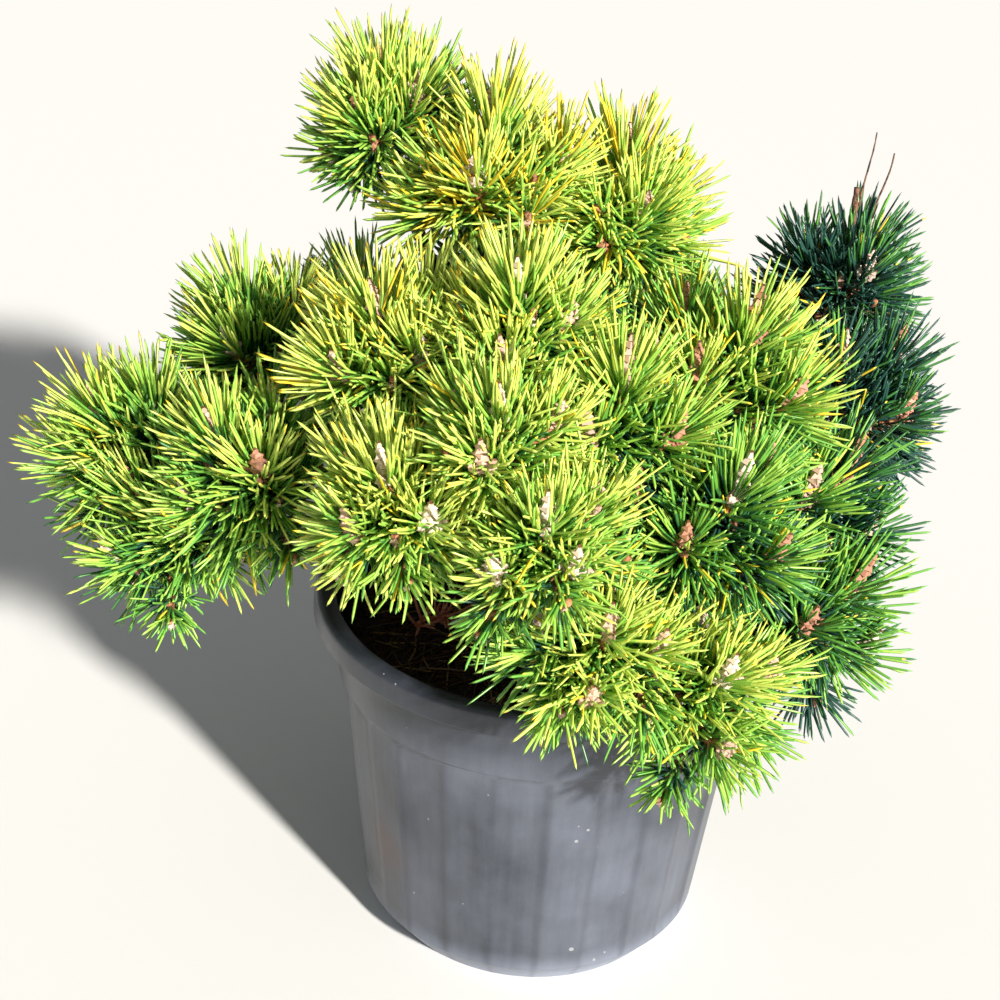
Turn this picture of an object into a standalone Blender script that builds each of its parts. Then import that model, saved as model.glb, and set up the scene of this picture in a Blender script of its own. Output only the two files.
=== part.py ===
"""A dwarf mountain pine in a ten-litre nursery container.

The solids are the container, its compost, a short leaning trunk that runs up into the crown,
the boughs, and the masses of needles, each mass a few bristling shoots on one stem.
Metres, +Z up. The origin is the centre of the container's flat underside, and the crown's front
faces -Y.
"""

import math
import random

import bmesh
import bpy
from mathutils import Matrix, Vector, geometry

# Driving dimensions, in metres, with angles in radians.
GAP = 0.0003
POT_HEIGHT = 0.225
LIP_RADIUS = 0.1405
LIP_DEPTH = 0.0155
LIP_ROUND = 0.005
MOUTH_RADIUS = 0.1265
MOUTH_DROP = 0.003
FOOT_RADIUS = 0.094
HEEL_RADIUS = 0.107
HEEL_HEIGHT = 0.019
SHOULDER_RADIUS = 0.1225
COLLAR_HEIGHT = 0.170
COLLAR_RADIUS = 0.1253
COLLAR_FLARE = 0.0035
FLOOR = 0.005
INNER_FLOOR_RADIUS = 0.0945
# The wall has this many proud and as many sunk panels, with a narrow bevel between them.
PANEL_PAIRS = 12
POT_SIDES = 4 * PANEL_PAIRS
PANEL_DEPTH = 0.0012
PANEL_END = 0.006
PANEL_BEVEL = math.radians(0.9)
DRAIN_HOLES = 6
DRAIN_RADIUS = 0.006
DRAIN_CIRCLE = 0.066
COMPOST_TOP = 0.200
COMPOST_EDGE = 0.004
COMPOST_SIDES = 16

TRUNK_RADIUS = 0.0155
TRUNK_TIP_RADIUS = 0.0045
ROOT_FLARE = 0.010
TRUNK_SIDES = 8
BOUGH_SIDES = 5
BOUGH_RADIUS = 0.0068
SIDE_BOUGH_RADIUS = 0.0050
BOUGH_TIP_RADIUS = 0.0030
RIM_CLEARANCE = 0.013

NEEDLE = 0.050
NEEDLE_WIDTH = 0.008
NEEDLE_PARTS = (1.0, 0.88, 0.76, 0.62, 0.48)
# A needle lies far out from the shoot at its foot and along it near the bud.
NEEDLE_LEAN_LOW = math.radians(80)
NEEDLE_LEAN_HIGH = math.radians(12)
NEEDLE_LIFT = 0.12
SHOOT_CORE = 0.0062
SHOOT_SIDES = 4
SHOOT_LEANS = (math.radians(64), math.radians(50), math.radians(36))
SHOOT_PARTS = (1.0, 0.72)
# Past its twig a shoot turns back towards its mass's heading, and keeps this part of its lean.
SHOOT_TURN = 0.5
SHOOT_LIFT = 0.22
# The oldest part of a shoot has shed half of its needles.
SHED_SHARE = 0.42
BUD = 0.012
TWIG_RADIUS = 0.0024
STEM = 0.005
# Lengths inside a mass, as shares of its reach.
DEPTH_SHARE = 0.74
FORK_SHARE = 0.12
TWIG_SHARE = 0.36
SHOOT_SHARE = 0.30
# How far a mass's needles reach from its centre, as a share of its reach.
BOUND = 1.24
# Room kept to the next mass, to the limbs and to the container.
CELL_MARGIN = 0.0012
LIMB_MARGIN = 0.0025
POT_MARGIN = 0.003
SEED = 101

UP = Vector((0, 0, 1))
# The point low in the crown that the boughs and shoots grow away from.
HEART = Vector((0.0, 0.01, 0.265))

# The leader's course, from its flat cut on the compost to its tip inside the highest mass.
LEADER = [
    Vector((0.003, 0.001, COMPOST_TOP + GAP)),
    Vector((0.003, 0.001, COMPOST_TOP + 0.014)),
    Vector((-0.001, 0.002, 0.234)),
    Vector((-0.008, 0.005, 0.262)),
    Vector((-0.019, 0.010, 0.318)),
    Vector((-0.031, 0.016, 0.376)),
    Vector((-0.040, 0.020, 0.434)),
]

# Each mass: its centre, its reach, which also sets its share of the space between it and its
# neighbours, how many shoots it carries, the limb that its bough leaves, and how far along.
MASSES = {
    "top": ((-0.041, 0.022, 0.494), 0.076, 5, None, 1.0),
    "left_far": ((-0.252, -0.008, 0.323), 0.067, 5, "leader", 0.14),
    "low_left": ((-0.092, -0.146, 0.364), 0.056, 5, "leader", 0.24),
    "low_mid": ((-0.016, -0.174, 0.356), 0.056, 5, "leader", 0.11),
    "low_right": ((0.077, -0.156, 0.262), 0.064, 5, "leader", 0.17),
    "right_far": ((0.196, 0.074, 0.334), 0.065, 5, "leader", 0.20),
    "back_left": ((-0.120, 0.150, 0.335), 0.076, 4, "leader", 0.16),
    "back_low": ((0.000, 0.200, 0.275), 0.076, 4, "leader", 0.11),
    "top_left": ((-0.106, 0.056, 0.500), 0.050, 5, "leader", 0.60),
    "top_right": ((0.027, 0.034, 0.467), 0.066, 5, "leader", 0.56),
    "crown_mid": ((-0.032, -0.082, 0.434), 0.066, 5, "leader", 0.50),
    "back_top": ((-0.016, 0.120, 0.414), 0.072, 4, "leader", 0.47),
    "right_heart": ((0.022, -0.098, 0.394), 0.062, 5, "leader", 0.34),
    "left_mid": ((-0.102, -0.062, 0.412), 0.064, 5, "low_left", 0.30),
    "centre": ((-0.040, -0.150, 0.400), 0.054, 4, "low_mid", 0.62),
    "low_front": ((0.016, -0.171, 0.299), 0.063, 5, "low_mid", 0.52),
    "left_near": ((-0.184, -0.062, 0.338), 0.066, 5, "left_far", 0.45),
    "left_low": ((-0.231, -0.040, 0.295), 0.068, 5, "left_far", 0.55),
    "left_back": ((-0.184, 0.060, 0.364), 0.062, 4, "back_left", 0.50),
    "mid_right": ((0.080, -0.120, 0.346), 0.068, 5, "low_right", 0.42),
    "right_skirt": ((0.154, -0.066, 0.250), 0.066, 5, "low_right", 0.34),
    "right_mid": ((0.092, -0.040, 0.400), 0.074, 5, "right_far", 0.22),
    "right_low": ((0.156, -0.020, 0.312), 0.066, 5, "right_far", 0.36),
    "right_back": ((0.192, 0.150, 0.381), 0.062, 4, "right_far", 0.55),
    "back_mid": ((0.066, 0.140, 0.352), 0.068, 4, "back_low", 0.45),
    "back_right": ((0.125, 0.165, 0.268), 0.072, 4, "back_low", 0.55),
}


def clear_scene():
    for thing in list(bpy.data.objects):
        bpy.data.objects.remove(thing, do_unlink=True)


def material(name, colour, roughness, metallic=0.0):
    made = bpy.data.materials.new(name)
    made.use_nodes = True
    shader = made.node_tree.nodes["Principled BSDF"]
    shader.inputs["Base Color"].default_value = (*colour, 1.0)
    shader.inputs["Roughness"].default_value = roughness
    shader.inputs["Metallic"].default_value = metallic
    made.diffuse_color = (*colour, 1.0)
    return made


def new_object(name, bm, finish, collection=None):
    bmesh.ops.recalc_face_normals(bm, faces=bm.faces)
    mesh = bpy.data.meshes.new(name)
    bm.to_mesh(mesh)
    bm.free()
    mesh.materials.append(finish)
    made = bpy.data.objects.new(name, mesh)
    (collection or bpy.context.scene.collection).objects.link(made)
    return made


def new_collection(name):
    made = bpy.data.collections.new(name)
    bpy.context.scene.collection.children.link(made)
    return made


def apply_boolean(target, operation, collection):
    """Joins or cuts the target, keeps the result as its mesh and removes the tools."""
    tool = target.modifiers.new(operation, "BOOLEAN")
    tool.operation = operation
    tool.solver = "EXACT"
    tool.operand_type = "COLLECTION"
    tool.collection = collection
    graph = bpy.context.evaluated_depsgraph_get()
    mesh = bpy.data.meshes.new_from_object(target.evaluated_get(graph))
    target.modifiers.clear()
    target.data = mesh
    for thing in list(collection.objects):
        bpy.data.objects.remove(thing, do_unlink=True)
    bpy.data.collections.remove(collection)


def shade_round(thing):
    thing.data.shade_smooth()
    thing.data.set_sharp_from_angle(angle=math.radians(35))


# The container: a profile turned round the upright axis.


def turned(profile, sides):
    """A closed mesh turned from a profile whose first and last points lie on the axis."""
    bm = bmesh.new()
    line = [bm.verts.new((radius, 0, height)) for radius, height in profile]
    edges = [bm.edges.new(pair) for pair in zip(line, line[1:])]
    bmesh.ops.spin(
        bm, geom=line + edges, axis=UP, cent=(0, 0, 0), angle=2 * math.pi, steps=sides,
        use_merge=True,
    )
    bmesh.ops.remove_doubles(bm, verts=bm.verts, dist=1e-6)
    return bm


def wall_radius(height):
    """The outer wall's radius between the heel and the collar."""
    share = (height - HEEL_HEIGHT) / (COLLAR_HEIGHT - HEEL_HEIGHT)
    return HEEL_RADIUS + share * (SHOULDER_RADIUS - HEEL_RADIUS)


def inner_radius(height):
    share = (height - FLOOR) / (POT_HEIGHT - MOUTH_DROP - FLOOR)
    return INNER_FLOOR_RADIUS + share * (MOUTH_RADIUS - INNER_FLOOR_RADIUS)


def panel_the_wall(bm):
    """Draws the outer wall's points together in pairs and sinks every other panel."""
    step_angle = 2 * math.pi / POT_SIDES
    wall = [v for v in bm.verts if HEEL_HEIGHT < v.co.z < COLLAR_HEIGHT]
    for vert in wall:
        radius = math.hypot(vert.co.x, vert.co.y)
        step = round(math.atan2(vert.co.y, vert.co.x) / step_angle) % POT_SIDES
        shift = PANEL_BEVEL if step % 2 == 0 else step_angle - PANEL_BEVEL
        radius -= PANEL_DEPTH if step % 4 >= 2 else 0.0
        vert.co.x = radius * math.cos(step * step_angle + shift)
        vert.co.y = radius * math.sin(step * step_angle + shift)


def make_drain_holes(finish):
    holes = new_collection("drain_holes")
    for index in range(DRAIN_HOLES):
        turn = 2 * math.pi * index / DRAIN_HOLES
        place = Vector((DRAIN_CIRCLE * math.cos(turn), DRAIN_CIRCLE * math.sin(turn), 0))
        bm = bmesh.new()
        bmesh.ops.create_cone(
            bm, cap_ends=True, segments=8, radius1=DRAIN_RADIUS, radius2=DRAIN_RADIUS,
            depth=4 * FLOOR, matrix=Matrix.Translation(place),
        )
        new_object("drain_hole", bm, finish, holes)
    return holes


def make_pot(finish):
    profile = [
        (0, 0),
        (FOOT_RADIUS, 0),
        (HEEL_RADIUS, HEEL_HEIGHT),
        (wall_radius(HEEL_HEIGHT + PANEL_END), HEEL_HEIGHT + PANEL_END),
        (wall_radius(COLLAR_HEIGHT - PANEL_END), COLLAR_HEIGHT - PANEL_END),
        (SHOULDER_RADIUS, COLLAR_HEIGHT),
        (COLLAR_RADIUS, COLLAR_HEIGHT + 0.0015),
        (COLLAR_RADIUS + COLLAR_FLARE, POT_HEIGHT - LIP_DEPTH - 0.002),
        (LIP_RADIUS, POT_HEIGHT - LIP_DEPTH),
        (LIP_RADIUS - 0.0005, POT_HEIGHT - LIP_ROUND),
        (LIP_RADIUS - LIP_ROUND, POT_HEIGHT),
        (MOUTH_RADIUS, POT_HEIGHT - MOUTH_DROP),
        (INNER_FLOOR_RADIUS, FLOOR),
        (0, FLOOR),
    ]
    bm = turned(profile, POT_SIDES)
    panel_the_wall(bm)
    pot = new_object("pot", bm, finish)
    apply_boolean(pot, "DIFFERENCE", make_drain_holes(finish))
    shade_round(pot)


def make_compost(finish):
    shoulder = COMPOST_TOP - COMPOST_EDGE
    profile = [
        (0, FLOOR + GAP),
        (inner_radius(FLOOR + GAP) - 2 * GAP, FLOOR + GAP),
        (inner_radius(shoulder) - 2 * GAP, shoulder),
        (inner_radius(COMPOST_TOP) - COMPOST_EDGE, COMPOST_TOP),
        (0, COMPOST_TOP),
    ]
    new_object("compost", turned(profile, COMPOST_SIDES), finish)


# Limbs: one face drawn along a course, ring by ring.


def course_frames(points):
    """A turning frame at each point, carried along the course without twist."""
    ways = []
    for index in range(len(points)):
        before = points[max(index - 1, 0)]
        after = points[min(index + 1, len(points) - 1)]
        ways.append((after - before).normalized())
    turn = UP.rotation_difference(ways[0])
    frames = [turn.copy()]
    for last, way in zip(ways, ways[1:]):
        turn = last.rotation_difference(way) @ turn
        frames.append(turn.copy())
    return frames


def ring_points(centre, frame, radius, sides, start=0.0):
    return [
        centre
        + frame
        @ Vector(
            (
                radius * math.cos(start + 2 * math.pi * side / sides),
                radius * math.sin(start + 2 * math.pi * side / sides),
                0,
            )
        )
        for side in range(sides)
    ]


def drawn_limb(bm, points, radii, sides, spin=0.0):
    """Draws a face along the course. Returns the faces of its sides, band by band."""
    frames = course_frames(points)
    verts = [bm.verts.new(p) for p in ring_points(points[0], frames[0], radii[0], sides)]
    cap = bm.faces.new(verts)
    bands = []
    for index in range(1, len(points)):
        before = set(bm.faces)
        cap = bmesh.ops.extrude_discrete_faces(bm, faces=[cap])["faces"][0]
        places = ring_points(points[index], frames[index], radii[index], sides, spin * index)
        for vert, place in zip(cap.verts, places):
            vert.co = place
        bands.append([f for f in bm.faces if f not in before and f is not cap])
    bm.faces.new(list(reversed(verts)))
    return bands


def curve_points(start, way, end, heading, steps):
    """A smooth course that leaves start along way and reaches end along heading."""
    reach = (end - start).length * 0.36
    knots = geometry.interpolate_bezier(
        start, start + way * reach, end - heading * reach, end, steps
    )
    return [Vector(knot) for knot in knots]


def along(points, share):
    """The place and the direction at a share of a course's length."""
    lengths = [(b - a).length for a, b in zip(points, points[1:])]
    left = share * sum(lengths)
    for (a, b), length in zip(zip(points, points[1:]), lengths):
        if left <= length or b is points[-1]:
            return a.lerp(b, min(left / length, 1.0)), (b - a).normalized()
        left -= length
    return points[-1], (points[-1] - points[-2]).normalized()


def heading_of(name):
    """The way that a mass's shoots grow: away from the crown's heart, and up."""
    centre = Vector(MASSES[name][0])
    return ((centre - HEART).normalized() + 0.75 * UP).normalized()


def over_the_rim(point):
    """Lifts a point of a bough's course that would lie on or under the container's lip."""
    near = min(max(math.hypot(point.x, point.y) / MOUTH_RADIUS * 2.8 - 1.1, 0.0), 1.0)
    lowest = POT_HEIGHT + RIM_CLEARANCE * (1.5 * near - 0.5)
    return Vector((point.x, point.y, max(point.z, lowest)))


def taper(count, root, tip, power=0.8):
    return [root + (tip - root) * (i / (count - 1)) ** power for i in range(count)]


def plan_limbs():
    """The course and radii of the leader and of every bough, parents first."""
    radii = taper(len(LEADER), TRUNK_RADIUS, TRUNK_TIP_RADIUS)
    radii[0] += ROOT_FLARE
    radii[1] += 0.2 * ROOT_FLARE
    limbs = {"leader": (LEADER, radii)}
    for name, (centre, reach, _shoots, parent, place) in MASSES.items():
        if parent is None:
            continue
        from_trunk = parent == "leader"
        root, parent_way = along(limbs[parent][0], place)
        heading = heading_of(name)
        tip = Vector(centre) - heading * reach * DEPTH_SHARE
        out = (tip - root) * Vector((1, 1, 0.55))
        follow = 0.0 if from_trunk else 0.25
        way = (out.normalized() * (1 - follow) + parent_way * follow + UP * 0.12).normalized()
        count = 6 if from_trunk else 5
        course = curve_points(root, way, tip, heading, count)
        course = [course[0]] + [over_the_rim(point) for point in course[1:]]
        thick = BOUGH_RADIUS if from_trunk else SIDE_BOUGH_RADIUS
        limbs[name] = (course, taper(count, thick, BOUGH_TIP_RADIUS))
    return limbs


def make_limbs(limbs, bark):
    """Makes the trunk, then each bough cut clear of the limbs before it."""
    done = []
    for name, (course, radii) in limbs.items():
        is_trunk = name == "leader"
        sides = TRUNK_SIDES if is_trunk else BOUGH_SIDES
        bm = bmesh.new()
        drawn_limb(bm, course, radii, sides)
        limb = new_object("trunk" if is_trunk else "bough_" + name, bm, bark)
        if done:
            cutters = new_collection("cutters")
            for other_course, other_radii, other_sides in done:
                bm = bmesh.new()
                grown = [radius + 1.4 * GAP for radius in other_radii]
                drawn_limb(bm, other_course, grown, other_sides)
                new_object("cutter", bm, bark, cutters)
            apply_boolean(limb, "DIFFERENCE", cutters)
            keep_outer_body(limb)
        shade_round(limb)
        done.append((course, radii, sides))


def keep_outer_body(bough):
    """Drops the scraps that a cut can leave on the far side of another limb."""
    bm = bmesh.new()
    bm.from_mesh(bough.data)
    left = set(bm.verts)
    bodies = []
    while left:
        body = [left.pop()]
        for vert in body:
            for edge in vert.link_edges:
                other = edge.other_vert(vert)
                if other in left:
                    left.remove(other)
                    body.append(other)
        bodies.append(body)
    bodies.sort(key=len, reverse=True)
    scraps = [vert for body in bodies[1:] for vert in body]
    if scraps:
        bmesh.ops.delete(bm, geom=scraps, context="VERTS")
    bm.to_mesh(bough.data)
    bm.free()


# Masses of needles: bristling shoots on twigs from one stem.


def in_own_space(name, point, margin):
    """True if the point lies on this mass's side of the plane between it and every other."""
    centre = Vector(MASSES[name][0])
    reach = MASSES[name][1]
    for other, (place, other_reach, *_rest) in MASSES.items():
        if other == name:
            continue
        across = Vector(place) - centre
        wall = across.length * reach / (reach + other_reach)
        if (point - centre).dot(across.normalized()) > wall - margin:
            return False
    return True


def nearest_on(point, start, end):
    """The point of a straight stretch that is nearest to another point."""
    nearest, share = geometry.intersect_point_line(point, start, end)
    return start if share < 0 else end if share > 1 else nearest


def off_the_pot(point):
    """True if the point is clear of the container and of the compost."""
    radius = math.hypot(point.x, point.y)
    if point.z > POT_HEIGHT + POT_MARGIN or radius > LIP_RADIUS + POT_MARGIN:
        return True
    return radius < MOUTH_RADIUS - 3 * POT_MARGIN and point.z > COMPOST_TOP + 2 * POT_MARGIN


def off_the_limbs(point, limbs, margin):
    for course, radii in limbs.values():
        for (a, b), thick in zip(zip(course, course[1:]), radii):
            if (point - nearest_on(point, a, b)).length < thick + margin:
                return False
    return True


def is_free(name, root, tip, limbs, thick):
    """True if a needle or twig from root to tip keeps to its space and touches no limb."""
    for step in (0.25, 0.5, 0.75, 1.0):
        point = root.lerp(tip, step)
        width = thick * (1 - step)
        if not in_own_space(name, point, CELL_MARGIN + width):
            return False
        if not off_the_pot(point) or not off_the_limbs(point, limbs, LIMB_MARGIN + width):
            return False
    return True


def in_own_share(point, shoots, index, margin):
    """True if the point is nearer to this shoot than to the others by the margin."""
    gaps = [(point - nearest_on(point, *shoot)).length for shoot in shoots]
    others = gaps[:index] + gaps[index + 1 :]
    return not others or gaps[index] + margin < min(others)


def leaning(way, out, lean):
    """A way turned towards another, square to it, by an angle."""
    return way * math.cos(lean) + out * math.sin(lean)


def shoot_ways(heading, count, start):
    """What a mass's shoots try: one goes straight ahead and the rest in a ring about it.

    Each gives its twig's direction, its own, and a part of the full length, from the best to
    the last resort.
    """
    across = heading.orthogonal().normalized()
    for index in range(count):
        turn = Matrix.Rotation(start + 2 * math.pi * index / (count - 1), 3, heading)
        leans = SHOOT_LEANS if index else (0,)
        out = turn @ across
        yield [
            (leaning(heading, out, lean), leaning(heading, out, lean * SHOOT_TURN), part)
            for lean in leans
            for part in SHOOT_PARTS
        ]


def plan_shoots(name, fork, heading, limbs, chance):
    """The root and bud tip of each shoot that keeps to the mass's space."""
    _centre, reach, count, _parent, _place = MASSES[name]
    shoots = []
    for ways in shoot_ways(heading, count, chance.uniform(0, 2 * math.pi)):
        rise = reach * TWIG_SHARE * chance.uniform(0.85, 1.1)
        length = reach * SHOOT_SHARE * chance.uniform(0.9, 1.1) + BUD
        for way, grow, part in ways:
            root = fork + way * rise
            tip = root + (grow + SHOOT_LIFT * UP).normalized() * length * part
            steps = [root.lerp(tip, step / 4) for step in range(5)]
            inside = all(in_own_space(name, p, CELL_MARGIN + SHOOT_CORE) for p in steps)
            clear = all(
                off_the_limbs(p, limbs, LIMB_MARGIN + SHOOT_CORE)
                and off_the_pot(p - UP * SHOOT_CORE)
                for p in steps[1:]
            )
            if inside and clear:
                shoots.append((root, tip))
                break
    return shoots


def bristling_shoot(name, shoots, index, limbs, chance):
    """A slim core with a bud at its tip, whose faces are drawn out into needles.

    A needle that would cross into another shoot's share of the mass is shortened or left out.
    """
    root, tip = shoots[index]
    way = (tip - root).normalized()
    length = (tip - root).length - BUD
    points = [root + way * length * band / 3 for band in range(4)] + [tip]
    radii = [SHOOT_CORE * share for share in (0.6, 1.0, 1.0, 0.8, 0.12)]
    bm = bmesh.new()
    bands = drawn_limb(bm, points, radii, SHOOT_SIDES, spin=math.pi / SHOOT_SIDES)
    needled = [face for band in bands[:-1] for face in band]
    for number, face in enumerate(bmesh.ops.triangulate(bm, faces=needled)["faces"]):
        middle = face.calc_center_median()
        foot, share = geometry.intersect_point_line(middle, root, tip)
        if share < SHED_SHARE and number % 2:
            continue
        lean = NEEDLE_LEAN_LOW + (NEEDLE_LEAN_HIGH - NEEDLE_LEAN_LOW) * share
        lean *= chance.uniform(0.9, 1.1)
        aim = (middle - foot).normalized() * math.sin(lean) + way * math.cos(lean)
        aim = (aim + NEEDLE_LIFT * UP).normalized()
        for part in NEEDLE_PARTS:
            end = middle + aim * NEEDLE * part * chance.uniform(0.88, 1.0)
            own = all(
                in_own_share(middle.lerp(end, step), shoots, index, NEEDLE_WIDTH * (1 - step))
                for step in (0.3, 0.6, 1.0)
            )
            own = own and (end - Vector(MASSES[name][0])).length < MASSES[name][1] * BOUND
            if own and is_free(name, middle, end, limbs, SHOOT_CORE):
                apex = bmesh.ops.poke(bm, faces=[face])["verts"][0]
                apex.co = end
                break
    return bm


def make_mass(name, limbs, order, finish):
    """One stem, the twigs that fork from it and a bristling shoot on each, fused together."""
    heading = heading_of(name)
    chance = random.Random(SEED + order)
    course = limbs[name if name in limbs else "leader"][0]
    growth = (course[-1] - course[-2]).normalized()
    foot = course[-1] + growth * GAP
    neck = foot + growth * STEM
    fork = neck + heading * MASSES[name][1] * FORK_SHARE
    bm = bmesh.new()
    drawn_limb(bm, [foot, neck, fork], [TWIG_RADIUS * 1.2] * 3, 4)
    stem = new_object("needles_" + name, bm, finish)
    parts = new_collection("shoots")
    shoots = plan_shoots(name, fork, heading, limbs, chance)
    for index, (root, tip) in enumerate(shoots):
        bm = bristling_shoot(name, shoots, index, limbs, chance)
        new_object("shoot", bm, finish, parts)
        bm = bmesh.new()
        inner = fork - (root - fork).normalized() * TWIG_RADIUS
        drawn_limb(bm, [inner, root.lerp(tip, 0.2)], [TWIG_RADIUS] * 2, 3)
        new_object("twig", bm, finish, parts)
    apply_boolean(stem, "UNION", parts)


clear_scene()
black_plastic = material("black_polythene", (0.030, 0.033, 0.038), 0.42)
peat = material("peat_compost", (0.045, 0.028, 0.018), 0.95)
bark = material("pine_bark", (0.150, 0.085, 0.055), 0.85)
needle_green = material("pine_needles", (0.150, 0.290, 0.035), 0.45)

make_pot(black_plastic)
make_compost(peat)
limbs = plan_limbs()
make_limbs(limbs, bark)
for number, mass in enumerate(MASSES):
    make_mass(mass, limbs, number, needle_green)
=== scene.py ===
import math
import random

import bmesh
import bpy
import numpy as np
from mathutils import Matrix, Vector, geometry, noise


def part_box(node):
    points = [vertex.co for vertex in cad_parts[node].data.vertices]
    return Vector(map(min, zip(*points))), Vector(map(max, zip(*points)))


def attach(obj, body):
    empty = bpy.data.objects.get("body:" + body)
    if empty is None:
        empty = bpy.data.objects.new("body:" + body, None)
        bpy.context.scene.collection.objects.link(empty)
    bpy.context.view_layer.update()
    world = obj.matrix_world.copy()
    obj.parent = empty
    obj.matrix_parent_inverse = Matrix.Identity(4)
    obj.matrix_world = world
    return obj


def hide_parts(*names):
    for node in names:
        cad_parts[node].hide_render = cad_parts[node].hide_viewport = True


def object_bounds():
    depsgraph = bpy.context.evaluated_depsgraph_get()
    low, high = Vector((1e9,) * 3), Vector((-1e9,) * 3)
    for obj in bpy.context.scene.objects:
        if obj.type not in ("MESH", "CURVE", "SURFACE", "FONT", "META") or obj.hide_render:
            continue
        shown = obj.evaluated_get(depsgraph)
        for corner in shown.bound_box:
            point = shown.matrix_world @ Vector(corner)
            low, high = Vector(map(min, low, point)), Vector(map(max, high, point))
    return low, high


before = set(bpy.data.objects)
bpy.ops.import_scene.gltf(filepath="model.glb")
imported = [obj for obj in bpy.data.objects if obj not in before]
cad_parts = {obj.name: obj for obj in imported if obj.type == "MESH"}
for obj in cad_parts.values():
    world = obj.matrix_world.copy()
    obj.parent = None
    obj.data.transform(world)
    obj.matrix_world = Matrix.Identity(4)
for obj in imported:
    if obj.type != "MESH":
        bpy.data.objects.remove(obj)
cad_low, cad_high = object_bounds()
BODY = "root"
UP = Vector((0, 0, 1))


# The container
# A ten-litre nursery container, moulded in black polythene: a wide rounded lip on a plain deep
# collar, a tapering wall of 24 panels, alternately proud and sunk, a chamfered heel and a flat
# foot with six drain holes.

POT_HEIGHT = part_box("pot")[1].z
LIP_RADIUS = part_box("pot")[1].x
LIP_DEPTH = 0.0155
LIP_ROUND = 0.005
UNDER_LIP_ROUND = 0.0015
MOUTH_RADIUS = 0.1265
MOUTH_DROP = 0.003
MOUTH_ROUND = 0.002
FOOT_RADIUS = 0.094
HEEL_RADIUS = 0.107
HEEL_HEIGHT = 0.019
HEEL_ROUND = 0.002
FOOT_ROUND = 0.0012
COLLAR_ROUND = 0.001
SHOULDER_RADIUS = 0.1225
COLLAR_HEIGHT = 0.170
COLLAR_RADIUS = 0.1253
COLLAR_FLARE = 0.0035
FLOOR = 0.005
INNER_FLOOR_RADIUS = 0.0945
INNER_COURSES = (0.19, 0.15, 0.10, 0.05)
PANELS = 24
PANEL_STEPS = 6
PANEL_DEPTH = 0.0012
PANEL_END = 0.006
CREASE = math.radians(0.9)
# The plain bands that the panels leave at the heel and under the collar, and the least wall.
HEEL_BAND, COLLAR_BAND, WALL = 0.003, 0.001, 0.002
WALL_COURSES = 12
DRAIN_HOLES = 6
DRAIN_RADIUS = 0.006
DRAIN_CIRCLE = 0.066
DRAIN_SIDES = 24
# Where a brown reflection is painted on the wall, low on the left.
PAINTED_REFLECTION_PLACE = (-0.093, -0.063, 0.075)
# The finish's patterns, in parts to the metre: streaks 6 mm wide and 110 mm long, blotches of
# 90 mm, specks 10 mm apart in clouds of 40 mm, scuffs of 30 mm and a grain under 1 mm.
STREAKS = (160, 160, 9)
BLOTCHES, SPECKS, SPECK_CLOUDS, SCUFFS, GRAIN = 11, 95, 26, 34, 1400


def linear(hex_colour):
    """An sRGB colour such as #3A4048 as Blender's linear colour."""
    parts = [int(hex_colour[i : i + 2], 16) / 255 for i in (1, 3, 5)]
    return (*(c / 12.92 if c <= 0.04045 else ((c + 0.055) / 1.055) ** 2.4 for c in parts), 1.0)


def result(source):
    """The socket itself, or a node's first output that is in use."""
    if isinstance(source, bpy.types.Node):
        return next(output for output in source.outputs if output.enabled)
    return source


def add_node(tree, kind, settings=(), inputs=()):
    """Adds a shader node, sets its properties, and gives its inputs values or links."""
    node = tree.nodes.new("ShaderNode" + kind)
    for name, value in dict(settings).items():
        setattr(node, name, value)
    for name, value in dict(inputs).items():
        if isinstance(value, (bpy.types.Node, bpy.types.NodeSocket)):
            tree.links.new(result(value), node.inputs[name])
        else:
            node.inputs[name].default_value = value
    return node


def link_finish(tree, shader, sources):
    """Links the nodes that give a finish its colour, roughness or relief."""
    for name, source in sources.items():
        tree.links.new(result(source), shader.inputs[name])


def new_material(name, **values):
    """A material with its Principled BSDF, whose plain values are set by their sockets' names."""
    made = bpy.data.materials.new(name)
    made.use_nodes = True
    shader = made.node_tree.nodes["Principled BSDF"]
    for socket, value in values.items():
        shader.inputs[socket.replace("_", " ")].default_value = value
    return made, made.node_tree, shader


def arc(centre, radius, start, end, steps=4):
    """Points (radius, height) of a round corner, between two angles in degrees."""
    turns = [math.radians(start + (end - start) * i / steps) for i in range(steps + 1)]
    return [(centre[0] + radius * math.cos(t), centre[1] + radius * math.sin(t)) for t in turns]


def turned(profile, sides):
    """A closed mesh turned round the upright axis from a profile that ends on it."""
    bm = bmesh.new()
    line = [bm.verts.new((radius, 0, height)) for radius, height in profile]
    edges = [bm.edges.new(pair) for pair in zip(line, line[1:])]
    bmesh.ops.spin(
        bm, geom=line + edges, axis=UP, cent=(0, 0, 0), angle=2 * math.pi, steps=sides,
        use_merge=True,
    )
    bmesh.ops.remove_doubles(bm, verts=bm.verts, dist=1e-6)
    bmesh.ops.recalc_face_normals(bm, faces=bm.faces)
    return bm


def new_piece(name, mesh, materials, smooth_angle=None):
    """An object of the plant: named, shaded and riding on the body."""
    for finish in materials:
        mesh.materials.append(finish)
    mesh.shade_smooth()
    if smooth_angle:
        mesh.set_sharp_from_angle(angle=math.radians(smooth_angle))
    made = bpy.data.objects.new(name, mesh)
    bpy.context.scene.collection.objects.link(made)
    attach(made, BODY)
    return made


def mesh_of(bm, name):
    mesh = bpy.data.meshes.new(name)
    bm.to_mesh(mesh)
    bm.free()
    return mesh


def wall_radius(height):
    """The outer wall's radius between the heel and the collar."""
    share = (height - HEEL_HEIGHT) / (COLLAR_HEIGHT - HEEL_HEIGHT)
    return HEEL_RADIUS + share * (SHOULDER_RADIUS - HEEL_RADIUS)


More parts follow.
